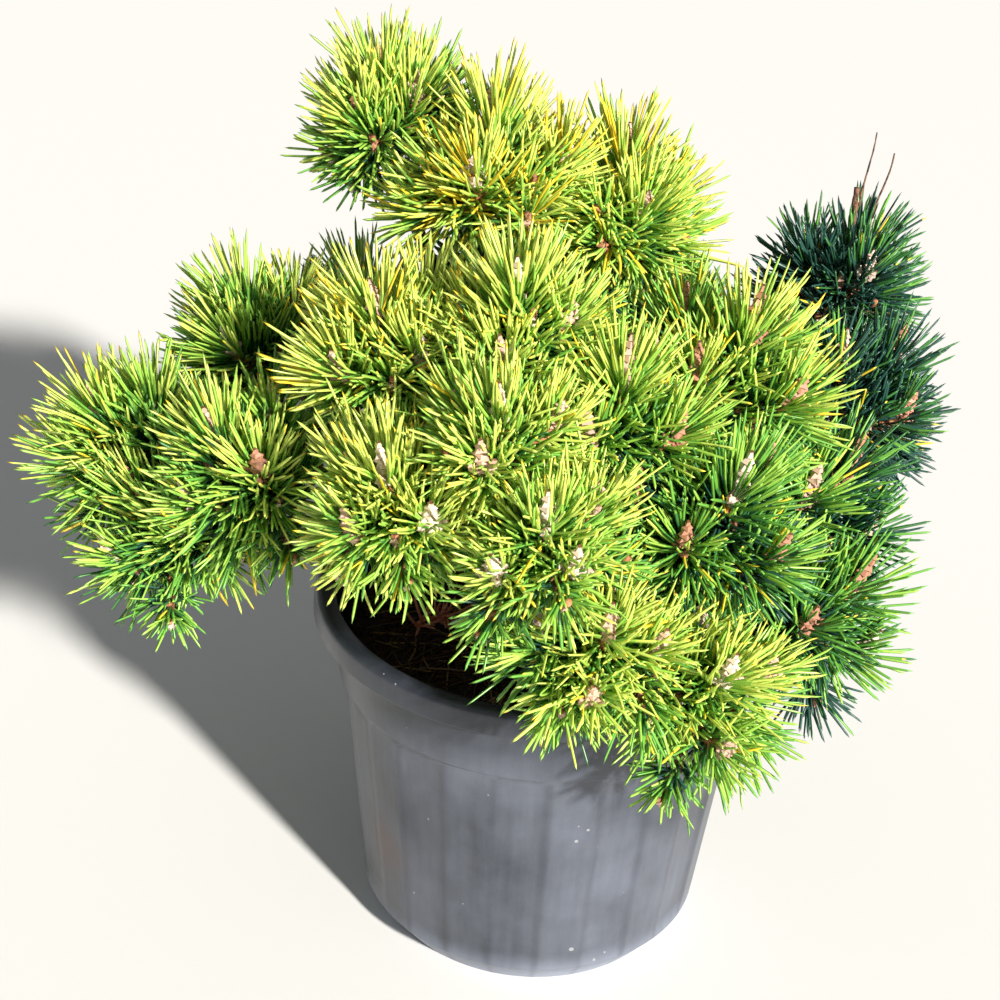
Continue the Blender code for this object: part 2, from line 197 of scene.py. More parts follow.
def inner_radius(height):
    share = (height - FLOOR) / (POT_HEIGHT - MOUTH_DROP - FLOOR)
    return INNER_FLOOR_RADIUS + share * (MOUTH_RADIUS - INNER_FLOOR_RADIUS)


def pot_profile():
    """The container's outline from the middle of its underside, up and over the lip, and in."""
    wall_low = HEEL_HEIGHT + PANEL_END
    wall_rise = COLLAR_HEIGHT - PANEL_END - wall_low
    wall = [wall_low + wall_rise * i / WALL_COURSES for i in range(WALL_COURSES + 1)]
    lip_low = POT_HEIGHT - LIP_DEPTH
    lip_side = LIP_RADIUS - 0.0005
    return [
        (0, 0),
        *arc((FOOT_RADIUS - FOOT_ROUND, FOOT_ROUND), FOOT_ROUND, -90, -35),
        *arc((HEEL_RADIUS - HEEL_ROUND, HEEL_HEIGHT), HEEL_ROUND, -35, 5),
        *[(wall_radius(height), height) for height in wall],
        (SHOULDER_RADIUS, COLLAR_HEIGHT),
        *arc((COLLAR_RADIUS - COLLAR_ROUND, COLLAR_HEIGHT + 0.0025), COLLAR_ROUND, -90, 0),
        (COLLAR_RADIUS + COLLAR_FLARE * 0.5, (COLLAR_HEIGHT + lip_low) / 2),
        *arc((COLLAR_RADIUS + COLLAR_FLARE + UNDER_LIP_ROUND, lip_low - UNDER_LIP_ROUND),
             UNDER_LIP_ROUND, 180, 90),
        *arc((LIP_RADIUS - COLLAR_ROUND, lip_low + COLLAR_ROUND), COLLAR_ROUND, -90, 0),
        *arc((lip_side - LIP_ROUND, POT_HEIGHT - LIP_ROUND), LIP_ROUND, 0, 90, 7),
        *arc((MOUTH_RADIUS + MOUTH_ROUND, POT_HEIGHT - MOUTH_DROP - MOUTH_ROUND),
             MOUTH_ROUND, 90, 180),
        *[(inner_radius(height), height) for height in INNER_COURSES],
        (INNER_FLOOR_RADIUS, FLOOR),
        (0, FLOOR),
    ]


def panel_the_wall(bm):
    """Flattens the wall between its creases and sinks every other panel."""
    panel = 2 * math.pi / PANELS
    step_angle = panel / PANEL_STEPS
    middle = PANEL_STEPS / 2 + 0.5
    for vert in bm.verts:
        on_wall = HEEL_HEIGHT + HEEL_BAND < vert.co.z < COLLAR_HEIGHT - COLLAR_BAND
        radius = math.hypot(vert.co.x, vert.co.y)
        if not on_wall or radius < inner_radius(vert.co.z) + WALL:
            continue
        step = round(math.atan2(vert.co.y, vert.co.x) / step_angle) % (PANELS * PANEL_STEPS)
        number, place = divmod(step, PANEL_STEPS)
        if place == 0:
            number, place = (number - 1) % PANELS, PANEL_STEPS
        across = (place - middle) / (middle - 1)
        turn = (number + 0.5) * panel + across * (panel / 2 - CREASE)
        offset = abs(across) * (panel / 2 - CREASE)
        radius *= math.cos(panel / 2 - CREASE) / math.cos(offset)
        radius -= PANEL_DEPTH if number % 2 else 0.0
        vert.co.x = radius * math.cos(turn)
        vert.co.y = radius * math.sin(turn)


def drill(target, name, cutter_bm):
    """Cuts the target by a mesh, keeps the result as its mesh and removes the cutter."""
    cutter = bpy.data.objects.new(name, mesh_of(cutter_bm, name))
    bpy.context.scene.collection.objects.link(cutter)
    cut = target.modifiers.new(name, "BOOLEAN")
    cut.operation = "DIFFERENCE"
    cut.solver = "EXACT"
    cut.object = cutter
    graph = bpy.context.evaluated_depsgraph_get()
    mesh = bpy.data.meshes.new_from_object(target.evaluated_get(graph))
    target.modifiers.clear()
    target.data = mesh
    bpy.data.objects.remove(cutter, do_unlink=True)


def paint_crease_shade(tree, sides, colour):
    """Paints shade into a colour where two wall panels meet, from the heel to the collar."""
    turn = add_node(
        tree, "Math", {"operation": "ARCTAN2"}, {0: sides.outputs["Y"], 1: sides.outputs["X"]})
    panels = add_node(tree, "Math", {"operation": "MULTIPLY"}, {0: turn, 1: PANELS / (2 * math.pi)})
    across = add_node(tree, "Math", {"operation": "FRACT"}, {0: panels})
    middle = add_node(tree, "Math", {"operation": "SUBTRACT"}, {0: across, 1: 0.5})
    apart = add_node(tree, "Math", {"operation": "ABSOLUTE"}, {0: middle})
    # Painted shade: up to 0.22 of a dark tone in a narrow band on each side of a crease.
    line = add_node(
        tree, "MapRange", {"interpolation_type": "SMOOTHSTEP"},
        {"Value": apart, "From Min": 0.36, "From Max": 0.50, "To Max": 0.22})
    under_collar = add_node(
        tree, "MapRange", {},
        {"Value": sides.outputs["Z"], "From Min": COLLAR_HEIGHT - 0.004,
         "From Max": COLLAR_HEIGHT - 0.001, "To Min": 1.0, "To Max": 0.0})
    share = add_node(tree, "Math", {"operation": "MULTIPLY"}, {0: line, 1: under_collar})
    # 15171D is the painted shade's colour.
    return add_node(tree, "Mix", {"data_type": "RGBA"}, {0: share, 6: colour, 7: linear("#15171D")})


def black_polythene():
    """Moulded black polythene that has stood outdoors.

    Its colour carries a painted blue-grey sheen, drawn out upwards by the mould, over a dusty
    film that is thickest at the heel, with pale scuffs, a few grey specks, painted shade down
    the panels' creases and one painted brown reflection low on the left.
    """
    made, tree, shader = new_material("weathered black polythene", IOR=1.51)
    place = add_node(tree, "TexCoord").outputs["Object"]
    drawn_out = add_node(tree, "Mapping", {}, {"Vector": place, "Scale": STREAKS})
    streaks = add_node(tree, "TexNoise", {}, {"Vector": drawn_out, "Scale": 1.0, "Detail": 4})
    blotches = add_node(
        tree, "TexNoise", {}, {"Vector": place, "Scale": BLOTCHES, "Detail": 5, "Roughness": 0.55})
    sides = add_node(tree, "SeparateXYZ", {}, {"Vector": place})
    height = sides.outputs["Z"]
    low = add_node(
        tree, "MapRange", {"interpolation_type": "SMOOTHSTEP"},
        {"Value": height, "From Min": 0.032, "From Max": 0.002, "To Max": 0.75})
    film = add_node(
        tree, "MapRange", {},
        {"Value": blotches, "From Min": 0.34, "From Max": 0.70, "To Max": 0.30})
    # The mould's streaks add a painted blue-grey sheen to the dusty film.
    film_and_sheen = add_node(tree, "Math", {"operation": "MULTIPLY_ADD"}, {0: streaks, 1: 0.17, 2: film})
    # The film and its painted sheen are halved from the collar up, so the lip is darker.
    halved_from_collar = add_node(
        tree, "MapRange", {},
        {"Value": height, "From Min": COLLAR_HEIGHT, "From Max": COLLAR_HEIGHT + 0.02,
         "To Min": 1.0, "To Max": 0.5})
    # How much pale blue-grey is laid on: the film with its painted sheen, and the real dusting at the
    # heel.
    dust_and_sheen = add_node(
        tree, "Math", {"operation": "MULTIPLY_ADD", "use_clamp": True},
        {0: film_and_sheen, 1: halved_from_collar, 2: low})
    # 8C93A3 is the dusting's colour and the painted sheen's.
    dust_and_sheen_colour = add_node(
        tree, "Mix", {"data_type": "RGBA"}, {0: dust_and_sheen, 6: linear("#181C24"), 7: linear("#8C93A3")})
    specks = add_node(tree, "TexVoronoi", {}, {"Vector": place, "Scale": SPECKS})
    clouds = add_node(tree, "TexNoise", {}, {"Vector": place, "Scale": SPECK_CLOUDS, "Detail": 2})
    reach = add_node(
        tree, "MapRange", {}, {"Value": clouds, "From Min": 0.46, "From Max": 0.78, "To Max": 0.16})
    speck = add_node(tree, "Math", {"operation": "LESS_THAN"}, {0: specks, 1: reach})
    speckled = add_node(
        tree, "Mix", {"data_type": "RGBA"}, {0: speck, 6: dust_and_sheen_colour, 7: linear("#8F9094")})
    scuffs = add_node(
        tree, "TexNoise", {"noise_type": "RIDGED_MULTIFRACTAL"},
        {"Vector": place, "Scale": SCUFFS, "Detail": 5, "Distortion": 1.1})
    worn = add_node(
        tree, "MapRange", {}, {"Value": scuffs, "From Min": 0.88, "From Max": 1.05, "To Max": 0.30})
    scuffed = add_node(
        tree, "Mix", {"data_type": "RGBA"}, {0: worn, 6: speckled, 7: linear("#8D8F96")})
    # A painted brown reflection, in blotches, low on the left of the wall, in #5C3828.
    from_painted_reflection = add_node(tree, "VectorMath", {"operation": "DISTANCE"}, {0: place, 1: PAINTED_REFLECTION_PLACE})
    near = add_node(
        tree, "MapRange", {"interpolation_type": "SMOOTHSTEP"},
        {"Value": from_painted_reflection, "From Min": 0.030, "From Max": 0.004, "To Max": 0.9})
    painted_reflection = add_node(tree, "Math", {"operation": "MULTIPLY"}, {0: near, 1: blotches})
    with_painted_reflection = add_node(
        tree, "Mix", {"data_type": "RGBA"}, {0: painted_reflection, 6: scuffed, 7: linear("#5C3828")})
    # Painted shade down the panels' creases.
    crease_shaded = paint_crease_shade(tree, sides, with_painted_reflection)
    rough = add_node(
        tree, "MapRange", {},
        {"Value": dust_and_sheen, "From Min": 0.0, "From Max": 0.8, "To Min": 0.28, "To Max": 0.58})
    grain = add_node(tree, "TexNoise", {}, {"Vector": place, "Scale": GRAIN, "Detail": 2})
    relief = add_node(tree, "Math", {"operation": "MULTIPLY_ADD"}, {0: streaks, 1: 0.8, 2: grain})
    bump = add_node(tree, "Bump", {}, {"Height": relief, "Strength": 0.35, "Distance": 0.0004})
    link_finish(tree, shader, {"Base Color": crease_shaded, "Roughness": rough, "Normal": bump})
    return made


def make_pot():
    """The turned and panelled shell, drilled through its floor."""
    bm = turned(pot_profile(), PANELS * PANEL_STEPS)
    panel_the_wall(bm)
    pot = new_piece("container", mesh_of(bm, "container"), [black_polythene()])
    holes = bmesh.new()
    for index in range(DRAIN_HOLES):
        turn = 2 * math.pi * index / DRAIN_HOLES
        place = Vector((DRAIN_CIRCLE * math.cos(turn), DRAIN_CIRCLE * math.sin(turn), 0))
        bmesh.ops.create_cone(
            holes, cap_ends=True, segments=DRAIN_SIDES, radius1=DRAIN_RADIUS, radius2=DRAIN_RADIUS,
            depth=4 * FLOOR, matrix=Matrix.Translation(place),
        )
    drill(pot, "drain_holes", holes)
    pot.data.set_sharp_from_angle(angle=math.radians(32))
    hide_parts("pot")


make_pot()


# The compost and its litter
# Dark moist peat that fills the container to 25 mm under its lip. Dry needles, bark chips and one
# reddish dead sprig have fallen on it. It is a lumpy turned solid with the litter laid on.

COMPOST_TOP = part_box("compost")[1].z
COMPOST_EDGE = 0.004
COMPOST_GAP = 0.0006
COMPOST_SIDES = 150
COMPOST_RINGS = 56
LUMP_HEIGHT = 0.0045
# Fibres of 2.4 mm, in parts to the metre.
FIBRES = 420
LITTER_EDGE = 0.008
FALLEN_NEEDLES = 460
FALLEN_LENGTH = (0.018, 0.044)
FALLEN_RADIUS = 0.0008
CRUMBS = 900
CRUMB_SIZE = (0.0008, 0.0026)
LITTER_SEED = 11
# Where the reddish sprig lies, how it runs, and how many short needles are left on it.
SPRIG_PLACE = (-0.080, -0.024, 0.207)
SPRIG_RUN = (0.020, -0.004, 0.010)
SPRIG_NEEDLES = 40
SPRIG_LENGTH = (0.009, 0.017)
SPRIG_RADIUS = 0.0011


def lump(x, y):
    """How far the compost's surface stands above its plain level."""
    coarse = noise.fractal(Vector((x, y, 0.3)) * 62, 1.0, 2.1, 3)
    fine = noise.fractal(Vector((x, y, 1.7)) * 310, 0.9, 2.2, 2)
    return LUMP_HEIGHT * (0.55 * coarse + 0.30 * fine)


def peat():
    """Moist peat: nearly black, with browner fibre and no gloss."""
    made, tree, shader = new_material("moist peat compost", Roughness=0.95)
    place = add_node(tree, "TexCoord").outputs["Object"]
    fibre = add_node(
        tree, "TexNoise", {}, {"Vector": place, "Scale": FIBRES, "Detail": 6, "Roughness": 0.7})
    tint = add_node(tree, "MapRange", {}, {"Value": fibre, "From Min": 0.42, "From Max": 0.66})
    colour = add_node(
        tree, "Mix", {"data_type": "RGBA"}, {0: tint, 6: linear("#1C1511"), 7: linear("#4F3826")})
    bump = add_node(tree, "Bump", {}, {"Height": fibre, "Strength": 0.8, "Distance": 0.0012})
    link_finish(tree, shader, {"Base Color": colour, "Normal": bump})
    return made


def make_compost():
    """The filling, turned to the container's inside, with a lumpy top."""
    shoulder = COMPOST_TOP - COMPOST_EDGE
    edge = inner_radius(COMPOST_TOP) - COMPOST_EDGE
    profile = [
        (0, FLOOR + COMPOST_GAP),
        (inner_radius(FLOOR) - COMPOST_GAP, FLOOR + COMPOST_GAP),
        (inner_radius(shoulder) - COMPOST_GAP, shoulder),
        *[(edge * (1 - i / COMPOST_RINGS), COMPOST_TOP) for i in range(COMPOST_RINGS + 1)],
    ]
    bm = turned(profile, COMPOST_SIDES)
    for vert in bm.verts:
        if vert.co.z > shoulder + 0.001:
            vert.co.z += lump(vert.co.x, vert.co.y)
    compost = new_piece("compost_surface", mesh_of(bm, "compost_surface"), [peat()])
    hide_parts("compost")


def joined_mesh(name, points, corners, sizes, slots):
    """One mesh of many small things, from arrays: points, face corners, corner counts, slots."""
    mesh = bpy.data.meshes.new(name)
    mesh.vertices.add(len(points))
    mesh.vertices.foreach_set("co", np.asarray(points, np.float32).ravel())
    mesh.loops.add(len(corners))
    mesh.loops.foreach_set("vertex_index", np.asarray(corners, np.int32))
    starts = np.concatenate(([0], np.cumsum(sizes)[:-1])).astype(np.int32)
    mesh.polygons.add(len(sizes))
    mesh.polygons.foreach_set("loop_start", starts)
    mesh.polygons.foreach_set("material_index", np.asarray(slots, np.int32))
    mesh.update(calc_edges=True)
    return mesh


def unit(vectors):
    return vectors / np.linalg.norm(vectors, axis=-1, keepdims=True)


def across_of(ways):
    """Two directions square to each way and to each other."""
    helper = np.where(np.abs(ways[:, 2:3]) < 0.9, (0.0, 0.0, 1.0), (1.0, 0.0, 0.0))
    side = unit(np.cross(helper, ways))
    return side, np.cross(ways, side)


# How far along a spike each ring of its corners lies, and the spike's width there.
SPIKE_ROWS = ((0.0, 0.85), (0.10, 0.80), (0.52, 1.0), (0.92, 0.78))


def spike_mesh(name, feet, ways, bends, lengths, widths, slots, chance):
    """Needles as one mesh: each a three-sided spike with a bend, closed at its foot.

    A spike keeps its width to near its blunt end. Its four parts, from the foot up, have each a
    finish of their own.
    """
    count = len(feet)
    side, other = across_of(ways)
    turn = chance.uniform(0, 2 * math.pi, count)
    rows = []
    for share, width in SPIKE_ROWS:
        middle = feet + lengths[:, None] * (ways * share + bends * share * share)
        for corner in range(3):
            angle = (turn + corner * 2 * math.pi / 3)[:, None]
            rows.append(
                middle + (np.cos(angle) * side + np.sin(angle) * other) * (widths * width)[:, None]
            )
    rows.append(feet + lengths[:, None] * (ways + bends))
    points = np.stack(rows, axis=1).reshape(-1, 3)
    bands = len(SPIKE_ROWS) - 1
    corners = [0, 2, 1]
    sizes = [3]
    for band in range(bands):
        for corner in range(3):
            a, b = 3 * band + corner, 3 * band + (corner + 1) % 3
            corners += [a, b, b + 3, a + 3]
            sizes.append(4)
    for corner in range(3):
        corners += [3 * bands + corner, 3 * bands + (corner + 1) % 3, 3 * bands + 3]
        sizes.append(3)
    step = 3 * len(SPIKE_ROWS) + 1
    all_corners = (np.array(corners)[None, :] + step * np.arange(count)[:, None]).ravel()
    face_slots = np.concatenate([slots[:, :1], np.repeat(slots, 3, axis=1)], axis=1)
    return joined_mesh(name, points, all_corners, np.tile(sizes, count), face_slots.ravel())


def dry_finish(name, colour, roughness=0.7):
    """Dead needles and bark: dry and dull, so the eye gets the plain colour and no sheen."""
    return new_material(name, Base_Color=linear(colour), Roughness=roughness)[0]


def lay_fallen_needles(chance, edge):
    """Dry needles that lie flat or lean on each other, turned inwards at the container's wall."""
    count = FALLEN_NEEDLES
    radius = edge * np.sqrt(chance.uniform(0.03, 1, count))
    turn = chance.uniform(0, 2 * math.pi, count)
    x, y = radius * np.cos(turn), radius * np.sin(turn)
    level = np.array([COMPOST_TOP + lump(a, b) for a, b in zip(x, y)])
    heading = chance.uniform(0, 2 * math.pi, count)
    lengths = chance.uniform(*FALLEN_LENGTH, count)
    over_edge = np.hypot(x + lengths * np.cos(heading), y + lengths * np.sin(heading)) > edge
    inward = turn + math.pi + chance.uniform(-0.9, 0.9, count)
    heading = np.where(over_edge, inward, heading)
    rise = chance.uniform(-0.02, 0.16, count)
    ways = unit(np.stack([np.cos(heading), np.sin(heading), rise], axis=1))
    sideways = [chance.normal(0, 0.10, count), chance.normal(0, 0.10, count)]
    bends = np.stack([*sideways, chance.uniform(-0.10, 0.0, count)], axis=1)
    feet = np.stack([x, y, level + 0.0012], axis=1)
    slots = np.repeat(chance.choice(3, (count, 1), p=(0.64, 0.30, 0.06)), 4, axis=1)
    widths = np.full(count, FALLEN_RADIUS)
    mesh = spike_mesh("fallen_needles", feet, ways, bends, lengths, widths, slots, chance)
    finishes = [
        dry_finish("dry needle, brown", "#523320"),
        dry_finish("dry needle, straw", "#8E6E48", 0.6),
        dry_finish("dry needle, reddish", "#8A4634"),
    ]
    new_piece("fallen_needles", mesh, finishes)


def lay_dead_sprig(chance):
    """A short dead twig's needles, still in a tuft."""
    count = SPRIG_NEEDLES
    along_it = chance.uniform(0, 1, count)
    feet = np.array(SPRIG_PLACE) + along_it[:, None] * np.array(SPRIG_RUN)
    ways = unit(chance.normal(0, 0.6, (count, 3)) + np.array((0.3, -0.2, 0.7)))
    bends = chance.normal(0, 0.16, (count, 3))
    lengths = chance.uniform(*SPRIG_LENGTH, count)
    widths, slots = np.full(count, SPRIG_RADIUS), np.zeros((count, 4), int)
    mesh = spike_mesh("dead_sprig", feet, ways, bends, lengths, widths, slots, chance)
    # Its pinkish red is lightened past its own colour as painted sunlight.
    new_piece("dead_sprig", mesh, [dry_finish("dead sprig, pinkish red with painted sunlight", "#E89880")])


def lay_crumbs(edge):
    """Crumbs of bark and peat, each a small squashed ball."""
    bm = bmesh.new()
    dice = random.Random(LITTER_SEED)
    for _ in range(CRUMBS):
        out = edge * math.sqrt(dice.uniform(0.02, 1))
        turn = dice.uniform(0, 2 * math.pi)
        size = dice.uniform(*CRUMB_SIZE)
        x, y = out * math.cos(turn), out * math.sin(turn)
        place = Matrix.Translation((x, y, COMPOST_TOP + lump(x, y) + size * 0.3))
        around = Matrix.Rotation(dice.uniform(0, 6.28), 4, "Z")
        spin = around @ Matrix.Rotation(dice.uniform(-0.6, 0.6), 4, "X")
        shape = Matrix.Diagonal((dice.uniform(0.8, 2.0), 1.0, dice.uniform(0.4, 0.9), 1.0))
        bmesh.ops.create_icosphere(bm, subdivisions=1, radius=size, matrix=place @ spin @ shape)
    bark_chip = dry_finish("bark crumb, dark brown", "#3A281C", 0.9)
    new_piece("litter_crumbs", mesh_of(bm, "litter_crumbs"), [bark_chip], 20)


def make_litter():
    """Dry fallen needles, one dead sprig, and crumbs of bark and peat on the compost."""
    chance = np.random.default_rng(LITTER_SEED)
    edge = inner_radius(COMPOST_TOP) - LITTER_EDGE
    lay_fallen_needles(chance, edge)
    lay_dead_sprig(chance)
    lay_crumbs(edge)


make_compost()
make_litter()


# The trunk and the boughs
# Pine wood in thin scaly bark, grey-brown where old and orange-brown where young. One short
# trunk flares at the compost, leans to the left and runs up as the leader. The boughs grow from
# it and from each other, each to the foot of its mass of needles.

TRUNK_RADIUS = 0.0155
TRUNK_TIP_RADIUS = 0.0045
ROOT_FLARE = 0.010
BOUGH_RADIUS = 0.0068
SIDE_BOUGH_RADIUS = 0.0050
BOUGH_TIP_RADIUS = 0.0030
RIM_CLEARANCE = 0.013
GAP = 0.0003
TAPER_POWER = 0.8
# How far a curve holds its way at either end, as a share of the distance between them.
CURVE_REACH = 0.36
# How many points a bough's course has, from the trunk and from another bough.
BOUGH_POINTS, SIDE_BOUGH_POINTS = 6, 5
# How steeply a bough leaves its limb: the part of its rise that it takes at once, how far a side
# bough follows its parent's way, and how far each turns up.
RISE_PART, FOLLOW, BOUGH_LIFT = 0.55, 0.25, 0.12
BARK_STEP = 0.0022
TRUNK_SIDES = 28
BOUGH_SIDES = 14
BOUGH_COLLAR = 0.45
# How long a plate of bark is, and flakes of 2 mm in parts to the metre.
PLATE = 0.0075
FLAKES = 520

# The point low in the crown that the boughs and shoots grow away from, how far they turn up from
# there, and how far below its mass's centre a bough ends, as a share of the mass's reach.
HEART = Vector((0.0, 0.01, 0.265))
HEADING_LIFT = 0.75
DEPTH_SHARE = 0.74

LEADER = [
    Vector((0.003, 0.001, COMPOST_TOP + GAP)),
    Vector((0.003, 0.001, COMPOST_TOP + 0.014)),
    Vector((-0.001, 0.002, 0.234)),
    Vector((-0.008, 0.005, 0.262)),
    Vector((-0.019, 0.010, 0.318)),
    Vector((-0.031, 0.016, 0.376)),
    Vector((-0.040, 0.020, 0.434)),
]

# Each mass: its centre, its reach, which also sets its share of the space between it and its
# neighbours, how many shoots it carries, the limb that its bough leaves, and how far along.
MASSES = {
    "top": ((-0.041, 0.022, 0.494), 0.076, 5, None, 1.0),
    "left_far": ((-0.252, -0.008, 0.323), 0.067, 5, "leader", 0.14),
    "low_left": ((-0.092, -0.146, 0.364), 0.056, 5, "leader", 0.24),
    "low_mid": ((-0.016, -0.174, 0.356), 0.056, 5, "leader", 0.11),
    "low_right": ((0.077, -0.156, 0.262), 0.064, 5, "leader", 0.17),
    "right_far": ((0.196, 0.074, 0.334), 0.065, 5, "leader", 0.20),
    "back_left": ((-0.120, 0.150, 0.335), 0.076, 4, "leader", 0.16),
    "back_low": ((0.000, 0.200, 0.275), 0.076, 4, "leader", 0.11),
    "top_left": ((-0.106, 0.056, 0.500), 0.050, 5, "leader", 0.60),
    "top_right": ((0.027, 0.034, 0.467), 0.066, 5, "leader", 0.56),
    "crown_mid": ((-0.032, -0.082, 0.434), 0.066, 5, "leader", 0.50),
    "back_top": ((-0.016, 0.120, 0.414), 0.072, 4, "leader", 0.47),
    "right_heart": ((0.022, -0.098, 0.394), 0.062, 5, "leader", 0.34),
    "left_mid": ((-0.102, -0.062, 0.412), 0.064, 5, "low_left", 0.30),
    "centre": ((-0.040, -0.150, 0.400), 0.054, 4, "low_mid", 0.62),
    "low_front": ((0.016, -0.171, 0.299), 0.063, 5, "low_mid", 0.52),
    "left_near": ((-0.184, -0.062, 0.338), 0.066, 5, "left_far", 0.45),
    "left_low": ((-0.231, -0.040, 0.295), 0.068, 5, "left_far", 0.55),
    "left_back": ((-0.184, 0.060, 0.364), 0.062, 4, "back_left", 0.50),
    "mid_right": ((0.080, -0.120, 0.346), 0.068, 5, "low_right", 0.42),
    "right_skirt": ((0.154, -0.066, 0.250), 0.066, 5, "low_right", 0.34),
    "right_mid": ((0.092, -0.040, 0.400), 0.074, 5, "right_far", 0.22),
    "right_low": ((0.156, -0.020, 0.312), 0.066, 5, "right_far", 0.36),
    "right_back": ((0.192, 0.150, 0.381), 0.062, 4, "right_far", 0.55),
    "back_mid": ((0.066, 0.140, 0.352), 0.068, 4, "back_low", 0.45),
    "back_right": ((0.125, 0.165, 0.268), 0.072, 4, "back_low", 0.55),
}


def along(points, share):
    """The place and the direction at a share of a course's length."""
    lengths = [(b - a).length for a, b in zip(points, points[1:])]
    left = share * sum(lengths)
    for (a, b), length in zip(zip(points, points[1:]), lengths):
        if left <= length or b is points[-1]:
            return a.lerp(b, min(left / length, 1.0)), (b - a).normalized()
        left -= length


def curve_points(start, way, end, heading, steps):
    """A smooth course that leaves start along way and reaches end along heading."""
    reach = (end - start).length * CURVE_REACH
    bends = (start + way * reach, end - heading * reach)
    return [Vector(knot) for knot in geometry.interpolate_bezier(start, *bends, end, steps)]


def heading_of(name):
    """The way that a mass's shoots grow: away from the crown's heart, and up."""
    centre = Vector(MASSES[name][0])
    return ((centre - HEART).normalized() + HEADING_LIFT * UP).normalized()


def over_the_rim(point):
    """Lifts a point of a bough's course that would lie on or under the container's lip.

    The lowest height rises from just under the lip, by the trunk, to the full clearance from
    three quarters of the way out.
    """
    near = min(max(math.hypot(point.x, point.y) / MOUTH_RADIUS * 2.8 - 1.1, 0.0), 1.0)
    lowest = POT_HEIGHT + RIM_CLEARANCE * (1.5 * near - 0.5)
    return Vector((point.x, point.y, max(point.z, lowest)))


def taper(count, root, tip):
    return [root + (tip - root) * (i / (count - 1)) ** TAPER_POWER for i in range(count)]


def plan_limbs():
    """The course and radii of the leader and of every bough, parents first."""
    radii = taper(len(LEADER), TRUNK_RADIUS, TRUNK_TIP_RADIUS)
    radii[0] += ROOT_FLARE
    radii[1] += 0.2 * ROOT_FLARE
    limbs = {"leader": (LEADER, radii)}
    for name, (centre, reach, _shoots, parent, place) in MASSES.items():
        if parent is None:
            continue
        from_trunk = parent == "leader"
        root, parent_way = along(limbs[parent][0], place)
        heading = heading_of(name)
        tip = Vector(centre) - heading * reach * DEPTH_SHARE
        out = (tip - root) * Vector((1, 1, RISE_PART))
        follow = 0.0 if from_trunk else FOLLOW
        way = (out.normalized() * (1 - follow) + parent_way * follow + UP * BOUGH_LIFT).normalized()
        count = BOUGH_POINTS if from_trunk else SIDE_BOUGH_POINTS
        course = curve_points(root, way, tip, heading, count)
        course = [course[0]] + [over_the_rim(point) for point in course[1:]]
        thick = BOUGH_RADIUS if from_trunk else SIDE_BOUGH_RADIUS
        limbs[name] = (course, taper(count, thick, BOUGH_TIP_RADIUS))
    return limbs


def smooth_course(points, radii, step):
    """A fine course through the same points, with the radius at each."""
    points = [points[0] * 2 - points[1], *points, points[-1] * 2 - points[-2]]
    places, thick = [], []
    for index in range(1, len(points) - 2):
        a, b, c, d = points[index - 1 : index + 3]
        count = max(2, round((c - b).length / step))
        for part in range(count):
            t = part / count
            places.append(
                0.5 * (2 * b + (c - a) * t + (2 * a - 5 * b + 4 * c - d) * t * t
                       + (3 * b - a - 3 * c + d) * t ** 3)
            )
            thick.append(radii[index - 1] + (radii[index] - radii[index - 1]) * t)
    return places + [points[-2]], thick + [radii[-1]]


def course_frames(points):
    """A turning frame at each point, carried along the course without twist."""
    ways = []
    for index in range(len(points)):
        before = points[max(index - 1, 0)]
        after = points[min(index + 1, len(points) - 1)]
        ways.append((after - before).normalized())
    turn = UP.rotation_difference(ways[0])
    frames = [turn.copy()]
    for last, way in zip(ways, ways[1:]):
        turn = last.rotation_difference(way) @ turn
        frames.append(turn.copy())
    return frames


def bark_relief(place, run, radius):
    """How far the bark stands out: plates longer than wide, with furrows between them."""
    spot = Vector((place.x, place.y, place.z)) / PLATE
    near, second = noise.voronoi(spot)[0][:2]
    furrow = min((second - near) * 2.6, 1.0)
    flake = noise.fractal(spot * 2.4 + Vector((0, 0, run * 40)), 0.8, 2.0, 3)
    return min(radius, 0.009) * (0.17 * (furrow - 0.75) + 0.07 * flake)


def drawn_limb(points, radii, sides, collar):
    """One limb with its bark's relief, drawn ring by ring along the course from a face."""
    frames = course_frames(points)
    bm = bmesh.new()
    cap = None
    total = len(points) - 1
    for index, (point, turn, radius) in enumerate(zip(points, frames, radii)):
        swell = 1 + collar * math.exp(-index / total * 14)
        places = []
        for side in range(sides):
            angle = 2 * math.pi * side / sides
            out = turn @ Vector((math.cos(angle), math.sin(angle), 0))
            rise = bark_relief(point + out * radius, index / total, radius)
            places.append(point + out * (radius * swell + rise))
        if cap is None:
            first = [bm.verts.new(place) for place in places]
            cap = bm.faces.new(first)
            continue
        cap = bmesh.ops.extrude_discrete_faces(bm, faces=[cap])["faces"][0]
        for vert, place in zip(cap.verts, places):
            vert.co = place
    bm.faces.new(list(reversed(first)))
    bmesh.ops.recalc_face_normals(bm, faces=bm.faces)
    return bm


